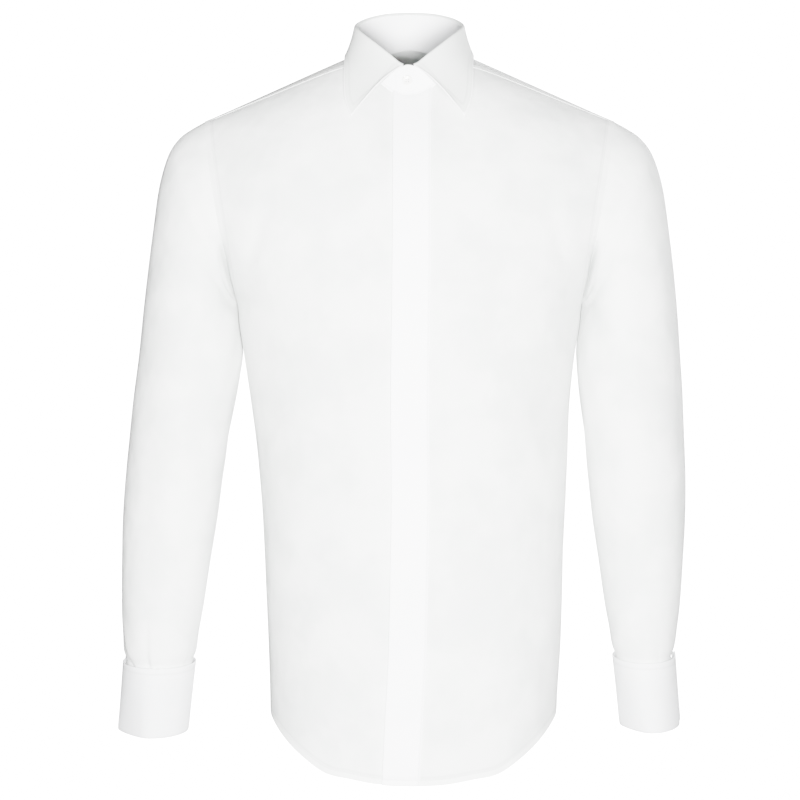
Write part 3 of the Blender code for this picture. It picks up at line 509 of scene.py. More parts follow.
# Soft folds on a body panel: x and z of both ends, how deep (minus is a trough), how wide and bow.
FRONT_FOLDS = (
    (-150, -150, -178, -238, -2.4, 9, 4), (-128, -205, -176, -250, -1.7, 8, -5),
    (-112, -262, -172, -262, -2, 11, 6), (-92, -300, -164, -282, 1.2, 12, 4),
    (-135, -335, -170, -430, -1.5, 13, 6), (-70, -390, -120, -560, -1, 18, 9),
    (-105, -520, -148, -690, -1.4, 16, -8), (-40, -150, -95, -225, -0.8, 15, 5),
    (150, -150, 177, -238, -2.1, 9, -4), (120, -212, 176, -252, -1.8, 8, 5),
    (98, -270, 172, -266, -1.7, 12, -6), (88, -318, 162, -290, 1.2, 13, -4),
    (138, -345, 168, -450, -1.7, 12, -5), (72, -420, 112, -575, -1, 17, -8),
    (110, -560, 146, -710, -1.4, 15, 7), (52, -130, 98, -215, -0.8, 16, -5),
    (45, -600, 62, -735, -0.8, 14, 3), (-52, -620, -66, -738, -0.8, 15, -4),
)
BACK_FOLDS = (
    (-140, -150, -176, -240, -2.3, 10, 4), (-95, -185, -172, -262, -1.9, 11, -6),
    (142, -150, 176, -238, -2.5, 10, -4), (90, -192, 172, -258, -1.7, 10, 6),
    (-60, -250, -150, -330, -1.8, 15, 8), (66, -262, 154, -325, -1.5, 14, -8),
    (-20, -300, -60, -520, -1.6, 20, 12), (30, -330, 74, -540, -1.4, 19, -10),
    (-100, -420, -150, -640, -1.9, 16, -9), (104, -435, 148, -660, -1.7, 17, 9),
    (-40, -560, -58, -740, -1.2, 16, 4), (38, -590, 50, -745, -1, 15, -4),
    (-84, -360, 10, -410, 1.3, 15, -7), (92, -372, 20, -425, 1.1, 14, 6),
    (-24, -120, -70, -235, -0.9, 18, 6), (36, -135, 64, -230, -0.8, 16, -5),
    (-120, -470, -30, -505, 0.9, 16, 6), (122, -560, 44, -610, 0.8, 18, -7),
)

# Soft folds on a sleeve: stations and degrees round it (0 outside, 90 front) of both ends, how
# deep and how wide.
SLEEVE_FOLDS = {
    RIGHT: (
        (1, 5.5, 150, 108, -1.5, 13), (3, 8, 172, 128, -1.6, 12), (5.5, 9.5, 100, 62, -0.8, 15),
        (7, 10.5, 175, 140, -1.4, 11), (9, 12.5, 96, 132, -1.1, 13),
        (9.6, 11.6, 165, 190, -1.6, 12), (10.5, 15, 60, 78, -0.8, 13),
        (12, 16.8, 128, 104, -0.9, 12), (11, 13, 20, 60, -0.7, 15), (2, 8, 215, 240, -2.2, 14),
        (7, 11.5, 250, 222, -2, 14), (10.5, 13.5, 275, 240, -1.9, 14),
        (12.5, 17, 300, 288, -1.4, 12), (2.5, 6.5, 282, 300, -1.4, 16),
    ),
    LEFT: (
        (1, 5, 152, 112, -1.4, 13), (2.6, 7.6, 174, 132, -1.7, 12), (5, 9, 88, 58, -0.9, 14),
        (7.4, 10.8, 172, 138, -1.3, 12), (8.8, 12.2, 104, 138, -1, 12),
        (9.8, 11.8, 168, 192, -1.5, 11), (11.2, 15.6, 70, 84, -0.9, 12),
        (12.4, 17, 118, 98, -0.8, 13), (10.6, 12.6, 28, 66, -0.8, 14),
        (2, 7.6, 210, 238, -2.3, 13), (7.4, 11.8, 246, 226, -1.9, 15),
        (10.2, 13.2, 270, 244, -1.7, 13), (12.8, 17.2, 296, 282, -1.6, 13),
        (3, 7, 286, 304, -1.2, 15),
    ),
}

# Pleats laid into the cuffs: the fold's place round the sleeve at its start and at the cuff, how
# deep the cloth beside it sinks, over how many degrees it rises again (minus: to the outside), and
# the station where it starts.
CUFF_PLEATS = {
    RIGHT: (
        (14, 47, 8, -22, 15.4), (76, 80, 3.6, -12, 14.4), (150, 142, 1.6, 10, 15.6),
    ),
    LEFT: (
        (342, 350, 3.6, 14, 14.6), (200, 194, 2, 11, 15), (66, 58, 1.6, 12, 15.8),
    ),
}
PLEAT_SHARP = 1.1  # degrees over which the fold itself turns
PLEAT_CAUGHT = 17.7  # from here on a pleat is drawn flat again, to be caught in the cuff's seam
CUFF_STATION = 18.4

CREASE_DEPTH, CREASE_WIDTH = 9.0, 10.0
CREASE_CUT, CREASE_SHARP = 9.0, 4.5
CREASE_TOP, CREASE_FULL = -180.0, -214.0
CREASE_ROWS = 14  # of a sleeve, from the armhole down
CREASE_TURN = 15.0  # how near the middle of the shirt's depth it turns from the front to the back
# How far a sleeve's inner side is pressed towards the body, at depths below the neck.
TOUCH = {
    LEFT: table(
        "depth close",
        (236, 0), (246, 4.5), (258, 7), (270, 7.6), (280, 6), (290, 4.6), (300, 3.6), (310, 2.2),
        (320, 0.8), (336, 0),
    ),
    RIGHT: table(
        "depth close",
        (236, 0), (246, 4), (258, 5.8), (270, 5), (280, 3), (290, 2), (300, 1.6), (310, 1.2),
        (320, 0.9), (336, 0),
    ),
}
TOUCH_AT, TOUCH_SPREAD = 198, 24  # degrees round the sleeve
SLEEVE_FREE = -261.0  # below this height the sleeve hangs free of the body
BODY_CLEAR = 1.1


def end_fade(along):
    """Full in the middle of a fold, and softly gone past both of its ends."""
    return np.exp(-(np.clip(np.abs(2 * along - 1) - FOLD_FULL, 0, None) ** 2) * FOLD_FADE)


def fold_depth(points, folds):
    """How far the soft folds of a body panel move its points out."""
    flat = points[..., (0, 2)]
    depth = np.zeros(points.shape[:2])
    for x, z, to_x, to_z, deep, wide, bow in folds:
        line = np.array([to_x - x, to_z - z])
        length = np.linalg.norm(line)
        along = (flat - (x, z)) @ line / length**2
        aside = (flat - (x, z)) @ (-line[1] / length, line[0] / length)
        aside -= bow * (1 - (2 * along - 1) ** 2)
        depth += deep * np.exp(-((aside / wide) ** 2)) * end_fade(along)
    return depth


def degrees_from(line):
    """Degrees to each column of a sleeve from a place round it that changes with the row."""
    return (DEGREES - line[:, None] + 180) % 360 - 180


def sleeve_depth(side):
    """How far folds and pleats move each point of a sleeve's rings out."""
    depth = np.zeros((len(SLEEVE_STATIONS), len(DEGREES)))
    for start, end, around, to_around, deep, wide in SLEEVE_FOLDS[side]:
        along = (SLEEVE_STATIONS - start) / (end - start)
        away = degrees_from(between(around, to_around, along))
        depth += deep * np.exp(-((away / wide) ** 2)) * end_fade(along)[:, None]
    for around, to_around, deep, reach, start in CUFF_PLEATS[side]:
        down, caught = (
            np.clip((SLEEVE_STATIONS - first) / (CUFF_STATION - first), 0, 1)
            for first in (start, PLEAT_CAUGHT)
        )
        away = degrees_from(between(around, to_around, down)) * np.sign(reach)
        soft = np.exp(-np.clip(away, 0, None) / abs(reach)) / (1 + np.exp(-away / PLEAT_SHARP))
        depth -= deep * (down**1.2 * (1 - 0.7 * caught**2))[:, None] * soft
    return depth


def edge_field(points, lines):
    """For each point the distance to the nearest of the lines, and the run along it."""
    flat = points.reshape(-1, 3)
    best, run = np.full(len(flat), FAR), np.zeros(len(flat))
    for line in lines:
        start, step = line[:-1], line[1:] - line[:-1]
        lengths = np.linalg.norm(step, axis=-1)
        keep = lengths > 1e-6
        start, step, lengths = start[keep], step[keep], lengths[keep]
        before = np.concatenate([[0], np.cumsum(lengths)[:-1]])
        for first in range(0, len(flat), 4000):
            part = slice(first, first + 4000)
            offset = flat[part, None, :] - start[None]
            share = np.clip((offset * step).sum(-1) / lengths**2, 0, 1)
            distance = np.linalg.norm(offset - share[..., None] * step, axis=-1)
            pick = distance.argmin(axis=1)
            rows = np.arange(len(pick))
            closer = distance[rows, pick] < best[part]
            best[part] = np.where(closer, distance[rows, pick], best[part])
            along = before[pick] + share[rows, pick] * lengths[pick]
            run[part] = np.where(closer, along, run[part])
    return best.reshape(points.shape[:-1]), run.reshape(points.shape[:-1])


def cloth_lengths(points, anchor):
    """Cloth coordinates of a grid: length across each row from a column, and up that column."""
    across = np.linalg.norm(np.diff(points, axis=1), axis=-1).cumsum(axis=1)
    across = np.pad(across, ((0, 0), (1, 0)))
    up = np.linalg.norm(np.diff(points[:, anchor], axis=0), axis=-1).cumsum()
    up = np.broadcast_to(np.pad(up, (1, 0))[:, None], across.shape)
    return np.stack([across - across[:, anchor][:, None], up], -1) * MM


def cloth_piece(
    name, sheets, lines, thickness, material, replaced, outward, rounded=0.0,
    inside_out=False,
):
    """One sewn piece: grids of cloth joined where they meet, given a thickness inwards."""
    shell = bmesh.new()
    cloth_uv = shell.loops.layers.uv.new("cloth")
    layers = [shell.verts.layers.float_vector.new(field) for field in FIELDS]
    for sheet in sheets:
        points = sheet["points"]
        rows, columns = points.shape[:2]
        made = bmesh.ops.create_grid(
            shell, x_segments=columns - 1, y_segments=rows - 1, size=1.0
        )["verts"]
        fields = [
            np.stack(edge_field(points, lines.get(field, [])), -1) * MM for field in FIELDS
        ]
        uvs = cloth_lengths(points, sheet.get("anchor", 0))
        place_of = {
            vertex: tuple(
                round((at + 1) / 2 * (count - 1))
                for at, count in ((vertex.co.y, rows), (vertex.co.x, columns))
            )
            for vertex in made
        }
        for vertex, place in place_of.items():
            vertex.co = points[place] * MM
            for values, layer in zip(fields, layers):
                vertex[layer] = (*values[place], 0.0)
        for face in {face for vertex in made for face in vertex.link_faces}:
            for loop in face.loops:
                loop[cloth_uv].uv = uvs[place_of[loop.vert]]
    bmesh.ops.remove_doubles(shell, verts=shell.verts, dist=2e-6)
    bmesh.ops.dissolve_degenerate(shell, dist=1e-7, edges=shell.edges)
    bmesh.ops.recalc_face_normals(shell, faces=shell.faces)
    shell.normal_update()
    shell.faces.ensure_lookup_table()
    middle = shell.faces[len(shell.faces) // 2]
    toward = np.array(outward) * MM - np.array(middle.calc_center_median())
    if (np.array(middle.normal) @ toward < 0) != inside_out:
        bmesh.ops.reverse_faces(shell, faces=shell.faces)
    shell.normal_update()
    bmesh.ops.solidify(shell, geom=shell.faces[:], thickness=thickness * MM)
    if rounded:
        shell.normal_update()
        corners = [e for e in shell.edges if e.is_manifold and e.calc_face_angle() > 1.1]
        bmesh.ops.bevel(
            shell, geom=corners, offset=rounded * MM, segments=2, profile=0.5,
            affect="EDGES", material=-1, clamp_overlap=True,
        )
    finished(name, shell, material, replaced)


def linked(name, shell, material):
    """The object of a finished shell."""
    mesh = bpy.data.meshes.new(name)
    shell.to_mesh(mesh)
    shell.free()
    mesh.shade_smooth()
    mesh.materials.append(material)
    made = bpy.data.objects.new(name, mesh)
    bpy.context.scene.collection.objects.link(made)
    return made


def finished(name, shell, material, replaced, sharp_above=42):
    """A piece of the shirt. replaced is the solid node that it takes the place of, or None."""
    piece = linked(name, shell, material)
    piece.data.set_sharp_from_angle(angle=math.radians(sharp_above))
    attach(piece, "root")
    if replaced:
        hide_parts(replaced)


def armpit_crease(points, away):
    """How far points near the armhole's lower end sink, where the sleeve hangs against the body."""
    low = 1 - falloff(CREASE_TOP - points[..., 2], CREASE_TOP - CREASE_FULL)
    sunk = CREASE_DEPTH * falloff(away, CREASE_WIDTH) + CREASE_CUT * falloff(away, CREASE_SHARP)
    sunk = sunk * low * np.tanh(points[..., 1] / CREASE_TURN)
    return -sunk[..., None] * (0.0, 1.0, 0.0)


def pressed(sheet, lines, folds, laps):
    """Folds pressed into a panel away from its edges, and its lapping edges raised."""
    points = sheet["points"]
    borders = [line for name, group in lines.items() if name != "hem" for line in group]
    inside = 1 - falloff(edge_field(points, borders)[0], FREE_OF_FOLDS)
    out = outward_of(sheet)
    move = (fold_depth(points, folds) * inside)[..., None] * out
    rise = np.zeros(points.shape[:2])
    for field in laps:
        away = edge_field(points, lines[field])[0]
        rise = np.maximum(rise, falloff(away, LAP_WIDTH))
        if field == "armhole":
            move = move + armpit_crease(points, away)
    return {**sheet, "points": points + move + LAP_RISE * rise[..., None] * out}


def beside_body(points, side):
    """How far out the body's side lies at the places of points on the left."""
    y, z = points[..., 1], points[..., 2]
    return half_width(z) * plan(y / depth_at(z, y)) + side * read(TORSO, "sway", z)


def make_sleeve(side):
    """Rows are rings from the armhole to the cuff, columns go round and end where they begin."""
    extra = armhole_ring() - sleeve_ring(0.0)
    rings = []
    for station in SLEEVE_STATIONS:
        ring = sleeve_ring(station) + extra * smooth(max(0.0, 1 - station / SEAM_FADE))
        low = np.clip((station - WRIST_STATIONS[0]) / np.ptp(WRIST_STATIONS), 0, 1)
        ring[:, 0] += read(HANG[side], "out", station)
        ring[:, 0] += WRIST_WIDEN[side] * low * np.cos(AROUND)
        ring[:, 2] += WRIST_RAISE[side] * low
        rings.append(ring)
    points = np.array(rings)
    points = np.concatenate([points[:, -1:], points, points[:, :1]], axis=1)
    outside = (-900.0, 0.0, -300.0)
    depth = sleeve_depth(side) * np.clip(SLEEVE_STATIONS / SLEEVE_CALM, 0, 1)[:, None]
    moved = points + depth[..., None] * outward_of(panel(points, WALL, outside))
    top = slice(0, CREASE_ROWS)
    moved[top] += armpit_crease(points[top], edge_field(points[top], [points[0]])[0])
    inner = np.exp(-(((DEGREES - TOUCH_AT) / TOUCH_SPREAD) ** 2))
    moved[..., 0] -= read(TOUCH[side], "close", -points[..., 2]) * inner
    clear = np.maximum(moved[..., 0], beside_body(moved, side) + BODY_CLEAR)
    moved[..., 0] = np.where(moved[..., 2] < SLEEVE_FREE, clear, moved[..., 0])
    sleeve = {name: values[:, 1:] for name, values in panel(moved, WALL, outside).items()}
    return sleeve if side == LEFT else mirrored(sleeve)


BAND_OVER, BAND_DROP = 0.9, 1.6  # the band's outer layer lies over the neck edge
BAND_PEAK, BAND_PEAK_HALF = 2.6, 8.0  # it stands up a little between the ends of the leaf
BAND_CORNER = 9.0  # degrees and millimetres over which its ends are rounded down
BAND_ROWS, ROLL_ROWS = 13, 13  # up the band, and of the leaf over the band's top
BUTTON_ROWS, BUTTON_REST = (4, 8), 0.1  # the button sits midway between two rows of the band


def make_stand():
    """The collar band: rows go up it, columns go round from the end on top to the one below."""
    around = np.linspace(STAND_OVER, STAND_UNDER, STAND_STEPS + 1)
    height = read(STAND_TOP, "height", fold_half(around)) - SEAM
    to_end = np.minimum(around - STAND_OVER, STAND_UNDER - around)
    height -= BAND_CORNER * np.clip(1 - to_end / BAND_CORNER, 0, 1) ** 2
    height += BAND_PEAK * falloff(np.abs(neck_edge(around)[:, 0]), BAND_PEAK_HALF)
    top, out = stand_middle(around, height)
    top += out * WALL / 2
    foot = neck_edge(around) + out * (BAND_OVER - tucked(around)) - (0.0, 0.0, BAND_DROP)
    rows = between(foot, top, np.linspace(0, 1, BAND_ROWS)[:, None, None])
    return panel(rows, WALL, (0.0, 500.0, 0.0))


def make_leaf():
    """The collar leaf: from its seam inside the neck over the fold and down to its edge."""
    around = np.linspace(LEAF_START, 360 - LEAF_START, LEAF_STEPS + 1)
    place = fold_half(around)
    mirror = np.stack([np.where(around > 180, -1.0, 1.0), *np.ones((2, len(around)))], -1)
    middle, out = stand_middle(around, read(STAND_TOP, "height", place))
    up = unit(middle - neck_edge(around) + tucked(around) * out)
    square = unit(np.cross(out, unit(np.gradient(middle, axis=0))))
    square *= np.sign(square[:, 2:])
    roll = np.radians(np.linspace(180, 0, ROLL_ROWS))[:, None, None]
    rolled = middle + FOLD * (np.cos(roll) * out + np.sin(roll) * square)
    x = read(LEAF_EDGE, "across", place)
    turn = np.radians(read(LEAF_EDGE, "turn", place))
    across = turned(x + 1.0, turn) - turned(x - 1.0, turn)
    along = turned(x, turn + 0.01) - turned(x, turn - 0.01)
    proud = read(LEAF_EDGE, "proud", place)[:, None] * unit(np.cross(across, along))
    edge = (turned(x, turn) + proud) * mirror
    start = rolled[-1]
    drop = np.linalg.norm(edge - start, axis=-1, keepdims=True)
    bend = start - drop * (0.5 * up - LEAF_FLARE * out)
    weight = np.exp(-(place - LEAF_START) / LEAF_BEND_FADE)[:, None]
    bend = bend * (1 - weight) + LEAF_FRONT_BEND * mirror * weight
    share = np.linspace(0, 1, LEAF_DROP_STEPS + 1)[1:, None, None]
    fall = start * (1 - share) ** 2 + 2 * bend * share * (1 - share) + edge * share**2
    return panel(np.concatenate([rolled, fall]), BAND, (0.0, 500.0, 20.0))


# Middle of a turned-back cuff's cloth: out from the sleeve's end, and down from the rim.
CUFF_FOLDED = (
    (-0.7, 8.4), (-0.7, 24), (-0.7, 40), (-0.7, 54), (-0.7, 65), (-0.65, 70), (-0.35, 72.6),
    (0.15, 73.9), (0.75, 74.3), (1.35, 73.8), (1.8, 72.2), (2.05, 69), (2.15, 64), (2.3, 52),
    (2.6, 38), (2.95, 24), (3.35, 10), (3.55, 3), (3.65, 0),
)
# How much narrower a cuff's front is than its middle at the fold, on its outer and inner half.
CUFF_TAPER = {LEFT: (0.16, 0.32), RIGHT: (0.37, 0.08)}
TAPER_FRONT, TAPER_DEPTH, TAPER_POWER = 0.85, 70.0, 0.7


def make_cuff(side):
    """A double cuff as one folded sheet: rows from the sleeve seam down, round the fold and up."""
    rows = []
    for out, down in CUFF_FOLDED:
        flat, outward, size = cuff_path(down / (CUFF_RIM["z"] - CUFF_END["z"]), side)
        flat = flat + (out + DOUBLE / 2) * outward
        front = np.clip(flat[:, 1] / (TAPER_FRONT * np.max(flat[:, 1])), 0, 1)
        taper = np.where(flat[:, 0] > 0, *CUFF_TAPER[side])
        flat[:, 0] *= 1 - taper * min(1.0, down / TAPER_DEPTH) ** TAPER_POWER * front
        x, y = size["x"] + flat[:, 0], -flat[:, 1]
        rows.append(np.stack([side * x, size["y"] + y, size["z"] + CUFF_TILT * y], -1))
    return np.array(rows)


# A button's turned outline, in shares of its radius and thickness.
BUTTON_OUTLINE = (
    (0, 0.72), (0.55, 0.72), (0.66, 0.8), (0.74, 0.96), (0.84, 1.0), (0.94, 0.96), (1.0, 0.72),
    (1.0, 0.34), (0.9, 0.1), (0.7, 0.0), (0, 0.0),
)
WELL = 0.72  # height of its sunk middle
THREAD_HALF, THREAD_LENGTH = 0.28, 3.0
THREAD_LIFT, THREAD_STEP = 0.76, 0.06  # one strand lies over the other


def spun(shell, corners, edges, steps, merge):
    """Turns a line once round the upright axis into a closed surface."""
    bmesh.ops.spin(
        shell, geom=corners + edges, cent=(0, 0, 0), axis=(0, 0, 1), angle=2 * math.pi,
        steps=steps, use_merge=True,
    )
    bmesh.ops.remove_doubles(shell, verts=shell.verts, dist=merge)
    bmesh.ops.recalc_face_normals(shell, faces=shell.faces)


def make_button(name, centre, turn, material, thread):
    """A turned four-hole shirt button, and the crossed thread that holds it."""
    place = Matrix([[*turn[row], centre[row] * MM] for row in range(3)] + [[0, 0, 0, 1]])
    shell = bmesh.new()
    corners = [
        shell.verts.new((radius * BUTTON_RADIUS * MM, 0, height * BUTTON_THICK * MM))
        for radius, height in BUTTON_OUTLINE
    ]
    spun(shell, corners, [shell.edges.new(pair) for pair in zip(corners, corners[1:])], 48, 1e-6)
    bmesh.ops.transform(shell, matrix=place, verts=shell.verts)
    finished(name, shell, material, "collar_button", sharp_above=30)

    strands = bmesh.new()
    for sign in (1, -1):
        made = bmesh.ops.create_cone(
            strands, cap_ends=True, segments=12, radius1=THREAD_HALF * MM,
            radius2=THREAD_HALF * MM, depth=THREAD_LENGTH * MM,
        )["verts"]
        flat = Matrix.Rotation(math.pi / 2, 4, "X")
        cross = Matrix.Rotation(sign * math.pi / 4, 4, "Z")
        lift = Matrix.Translation((0, 0, (THREAD_LIFT + THREAD_STEP * sign) * BUTTON_THICK * MM))
        bmesh.ops.transform(strands, matrix=place @ lift @ cross @ flat, verts=made)
    finished(name + "_thread", strands, thread, None, sharp_above=50)


# --- finishes

WARP_PITCH, WARP_RISE, SLUB_STRETCH = 0.0004, 0.00002, (1.0, 0.06, 1.0)
STITCH, STITCH_RISE, NEEDLE_SINK = 0.0022, 0.00016, 0.00012
PUCKER_STRETCH = (0.25, 1.0, 1.0)
BAND_SHADE_GAIN = 2600.0  # how dark the painted shade beside a raised band is, for each metre of its rise
RIB_PITCH, RIB_RISE, HOLE_RISE, SLIT_DEPTH = 0.0005, 0.00005, 0.0003, 0.0005
SOFT_WAVES = 0.003
HOLE_APART, HOLE_DEPTH = 1.15, 0.0004  # of the button: from its middle, along both ways


class Wire:
    """A shader value. Each sum or product of it makes its own math node."""

    def __init__(self, socket):
        self.socket, self.tree = socket, socket.id_data

    def maths(self, operation, other=0.0):
        return node(self.tree, "Math", self, other, operation=operation)[0]

    __add__ = partialmethod(maths, "ADD")
    __sub__ = partialmethod(maths, "SUBTRACT")
    __mul__ = partialmethod(maths, "MULTIPLY")
    __or__ = partialmethod(maths, "MAXIMUM")
    __abs__ = partialmethod(maths, "ABSOLUTE")


def feed(socket, value):
    """Links a socket to a wire, or sets it to a number or colour."""
    if isinstance(value, Wire):
        value.tree.links.new(value.socket, socket)
    else:
        socket.default_value = value


def node(tree, kind, *values, **settings):
    """A new node's outputs, with its settings made and its first inputs linked or set."""
    made = tree.nodes.new("ShaderNode" + kind)
    for name, value in settings.items():
        setattr(made, name, value)
    for socket, value in zip(made.inputs, values):
        feed(socket, value)
    return [Wire(socket) for socket in made.outputs]


def object_place(tree):
    return node(tree, "TexCoord")[3]


def field_place(tree, field):
    """Distance to the nearest edge of a kind and the run along it, which the cloth carries."""
    return node(tree, "Attribute", attribute_name=field)[1]


def ramp(value, low, high, start=0.0, end=1.0):
    """start below low, end above high, and a smooth step between them."""
    values = (value, low, high, start, end)
    return node(value.tree, "MapRange", *values, interpolation_type="SMOOTHSTEP")[0]


def fade(value, low, high):
    return ramp(value, low, high, 1.0, 0.0)


def noise(place, scale, detail=2.0, roughness=0.5, stretch=None):
    if stretch:
        place = node(place.tree, "Mapping", place, (0, 0, 0), (0, 0, 0), stretch)[0]
    return node(place.tree, "TexNoise", place, 0.0, scale, detail, roughness)[0]


def mix(share, first, second):
    """One colour turning into another."""
    made = share.tree.nodes.new("ShaderNodeMix")
    made.data_type = "RGBA"
    for index, value in ((0, share), (6, first), (7, second)):
        feed(made.inputs[index], value)
    return Wire(made.outputs[2])


def either(marks, more):
    """Lists of wires merged one by one, each to the greater value."""
    return [old | new for old, new in zip(marks, more)] if marks else more


def group(name, inputs, outputs):
    """A node group. inputs and outputs give the names of each kind of socket."""
    tree = bpy.data.node_groups.new(name, "ShaderNodeTree")
    for way, kinds in (("INPUT", inputs), ("OUTPUT", outputs)):
        for kind, names in kinds.items():
            for socket in names.split():
                tree.interface.new_socket(socket, in_out=way, socket_type="NodeSocket" + kind)
    given, result = tree.nodes.new("NodeGroupInput"), tree.nodes.new("NodeGroupOutput")
    return [Wire(socket) for socket in given.outputs[:-1]], result.inputs


def send(result, *values):
    for socket, value in zip(result, values):
        feed(socket, value)
    return result[0].id_data


def weave_group():
    """Plain weave: how high the threads stand."""
    (cloth,), result = group("plain_weave", {"Vector": "Cloth"}, {"Float": "Height"})
    across, up = node(cloth.tree, "SeparateXYZ", cloth)[:2]
    turns = 2 * math.pi / WARP_PITCH
    threads = (across * turns).maths("SINE") * (up * turns).maths("SINE")
    slub = noise(cloth, 900.0, stretch=SLUB_STRETCH)
    return send(result, (threads + slub * 1.5) * WARP_RISE)


def sewn_group():
    """A sewn edge: a raised band, a line of stitches along it and the cloth pulled in by them, with
    painted shade in the stitches' groove and just beside the band.
    """
    (place, band, rise, line, pucker), result = group(
        "sewn_edge",
        {"Vector": "Place", "Float": "Band Rise Stitches Pucker"},
        {"Float": "Height Thread Groove Raised"},
    )
    away, run = node(place.tree, "SeparateXYZ", place)[:2]
    inside = fade(away, band - 0.0005, band + 0.0005)
    # Painted shade: a soft dark line just beside the band, darker the higher the band rises.
    shade_beside_band = fade(abs(away - (band + 0.0006)), 0.0004, 0.0028) * (rise * BAND_SHADE_GAIN)
    off_line = abs(away - line)
    # The groove along the stitches: sunk in the relief, and also darkened as painted shade.
    groove_and_shade = fade(off_line, 0.0003, 0.0014)
    dash = fade(abs((run * (1 / STITCH)).maths("FRACT") - 0.5), 0.33, 0.42)
    thread = fade(off_line, 0.0001, 0.0004) * dash
    ripple = noise(place, 170.0, 1.0, stretch=PUCKER_STRETCH) - 0.5
    ripple = ripple * fade(off_line, 0.001, 0.007) * pucker
    height = inside * rise + ripple - groove_and_shade * NEEDLE_SINK + thread * STITCH_RISE
    return send(result, height, thread, groove_and_shade | shade_beside_band, inside)


def tone_group():
    """Washed and pressed cloth: broad soft patches a little warmer and darker than the rest."""
    (place, cloth, shade), result = group(
        "pressed_tone",
        {"Vector": "Vector", "Color": "Cloth Shade"},
        {"Color": "Color", "Float": "Height"},
    )
    patches = ramp(noise(place, 15.0, 3.0, 0.55), 0.38, 0.64) * 0.9
    waves = (noise(place, 26.0, 2.0, 0.45) - 0.5) * SOFT_WAVES
    return send(result, mix(patches, cloth, shade), waves)


def hole_group():
    """A worked buttonhole: close stitches standing up on both sides of a slit, painted dark as the
    shade in the opening.
    """
    (place,), result = group("worked_hole", {"Vector": "Place"}, {"Float": "Height Slit"})
    away, run = node(place.tree, "SeparateXYZ", place)[:2]
    slit = fade(away, 0.00018, 0.0003)
    ribs = (run * (2 * math.pi / RIB_PITCH)).maths("SINE")
    worked = (ribs * RIB_RISE + HOLE_RISE) * fade(away, 0.001, 0.0014)
    return send(result, worked - slit * SLIT_DEPTH, slit)


WEAVE, SEWN, TONE, HOLE = weave_group(), sewn_group(), tone_group(), hole_group()


def surface(name, settings):
    """A material with inputs of its surface set, and its tree."""
    material = bpy.data.materials.new(name)
    material.use_nodes = True
    for socket, value in settings.items():
        feed(material.node_tree.nodes["Principled BSDF"].inputs[socket], value)
    return material, material.node_tree


def painted(material, colour, height=None):
    """The material with its colour, and its relief in metres."""
    tree = material.node_tree
    shader = tree.nodes["Principled BSDF"]
    feed(shader.inputs["Base Color"], colour)
    if height:
        bump = tree.nodes.new("ShaderNodeBump")
        for name, value in (("Strength", 1.0), ("Distance", 1.0), ("Height", height)):
            feed(bump.inputs[name], value)
        feed(shader.inputs["Normal"], Wire(bump.outputs[0]))
    return material


def tinted(colour, gain=1.0, most=1.0):
    """A colour made paler or darker, with its alpha."""
    return (*(min(gain * value, most) for value in colour), 1)


def poplin(name, tones, edges, undulation=1.0, holes=None, band_share=0.5, band_gain=1.14):
    """White cotton poplin. edges lists field, band, rise, stitch line and pucker.

    Bands of several layers let less light through, so they are paler: by a share of a gain. On the
    collar's edge this pale band is a painted highlight. The grooves and the line beside each band
    are darkened: painted shade.
    """
    cloth, shade = tones
    material, tree = surface(name, {
        "Roughness": 0.88, "Specular IOR Level": 0.2, "Sheen Weight": 0.03,
        "Sheen Roughness": 0.45,
    })
    colour, waves = node(
        tree, "Group", object_place(tree), tinted(cloth), tinted(shade), node_tree=TONE
    )
    uv = node(tree, "UVMap", uv_map="cloth")[0]
    height = waves * undulation + node(tree, "Group", uv, node_tree=WEAVE)[0]
    marks = None
    for field, *sizes in edges:
        relief, *more = node(
            tree, "Group", field_place(tree, field), *sizes, node_tree=SEWN
        )
        height = height + relief
        marks = either(marks, more)
    thread, groove_and_shade, raised = marks
    # The band made paler: paler layered cloth, and on the collar's edge a painted highlight.
    colour = mix(raised * band_share, colour, tinted(cloth, band_gain, 0.96))
    # Painted shade in the stitches' grooves and just beside each raised band.
    colour = mix(groove_and_shade * 0.45, colour, tinted(shade, 0.72))
    colour = mix(thread, colour, tinted(cloth, 1.04, 0.95))
    if holes:
        relief, slit = node(tree, "Group", field_place(tree, holes), node_tree=HOLE)
        height = height + relief
        # Painted shade: the slit is darkened as an open gap.
        colour = mix(slit, colour, (0.2, 0.2, 0.2, 1))
    return painted(material, colour, height)


def pearl(name, centre, turn):
    """Mother-of-pearl button: clouded, glossy, with four small holes painted dark as the shade
    inside them.
    """
    material, tree = surface(
        name, {"Roughness": 0.22, "Coat Weight": 0.4, "Coat Roughness": 0.08}
    )
    place = object_place(tree)
    clouds = ramp(noise(place, 420.0, 3.0, 0.6), 0.35, 0.65)
    holes = None
    for across, up in ((1, 1), (1, -1), (-1, 1), (-1, -1)):
        spot = centre + turn @ (HOLE_APART * across, HOLE_APART * up, WELL * BUTTON_THICK)
        gap = node(tree, "VectorMath", place, tuple(spot * MM), operation="DISTANCE")[1]
        holes = either(holes, [fade(gap, 0.0005, 0.00062)])
    colour = mix(clouds, (0.86, 0.86, 0.82, 1), (0.95, 0.93, 0.91, 1))
    # Painted shade: the holes are darkened as if deep.
    colour = mix(holes[0], colour, (0.12, 0.11, 0.1, 1))
    return painted(material, colour, holes[0] * -HOLE_DEPTH)


def sewing_thread():
    material, tree = surface("sewing_thread", {"Roughness": 0.6})
    fibres = noise(object_place(tree), 3000.0, 1.0)
    return painted(material, mix(fibres, (0.82, 0.82, 0.8, 1), (0.93, 0.93, 0.92, 1)))


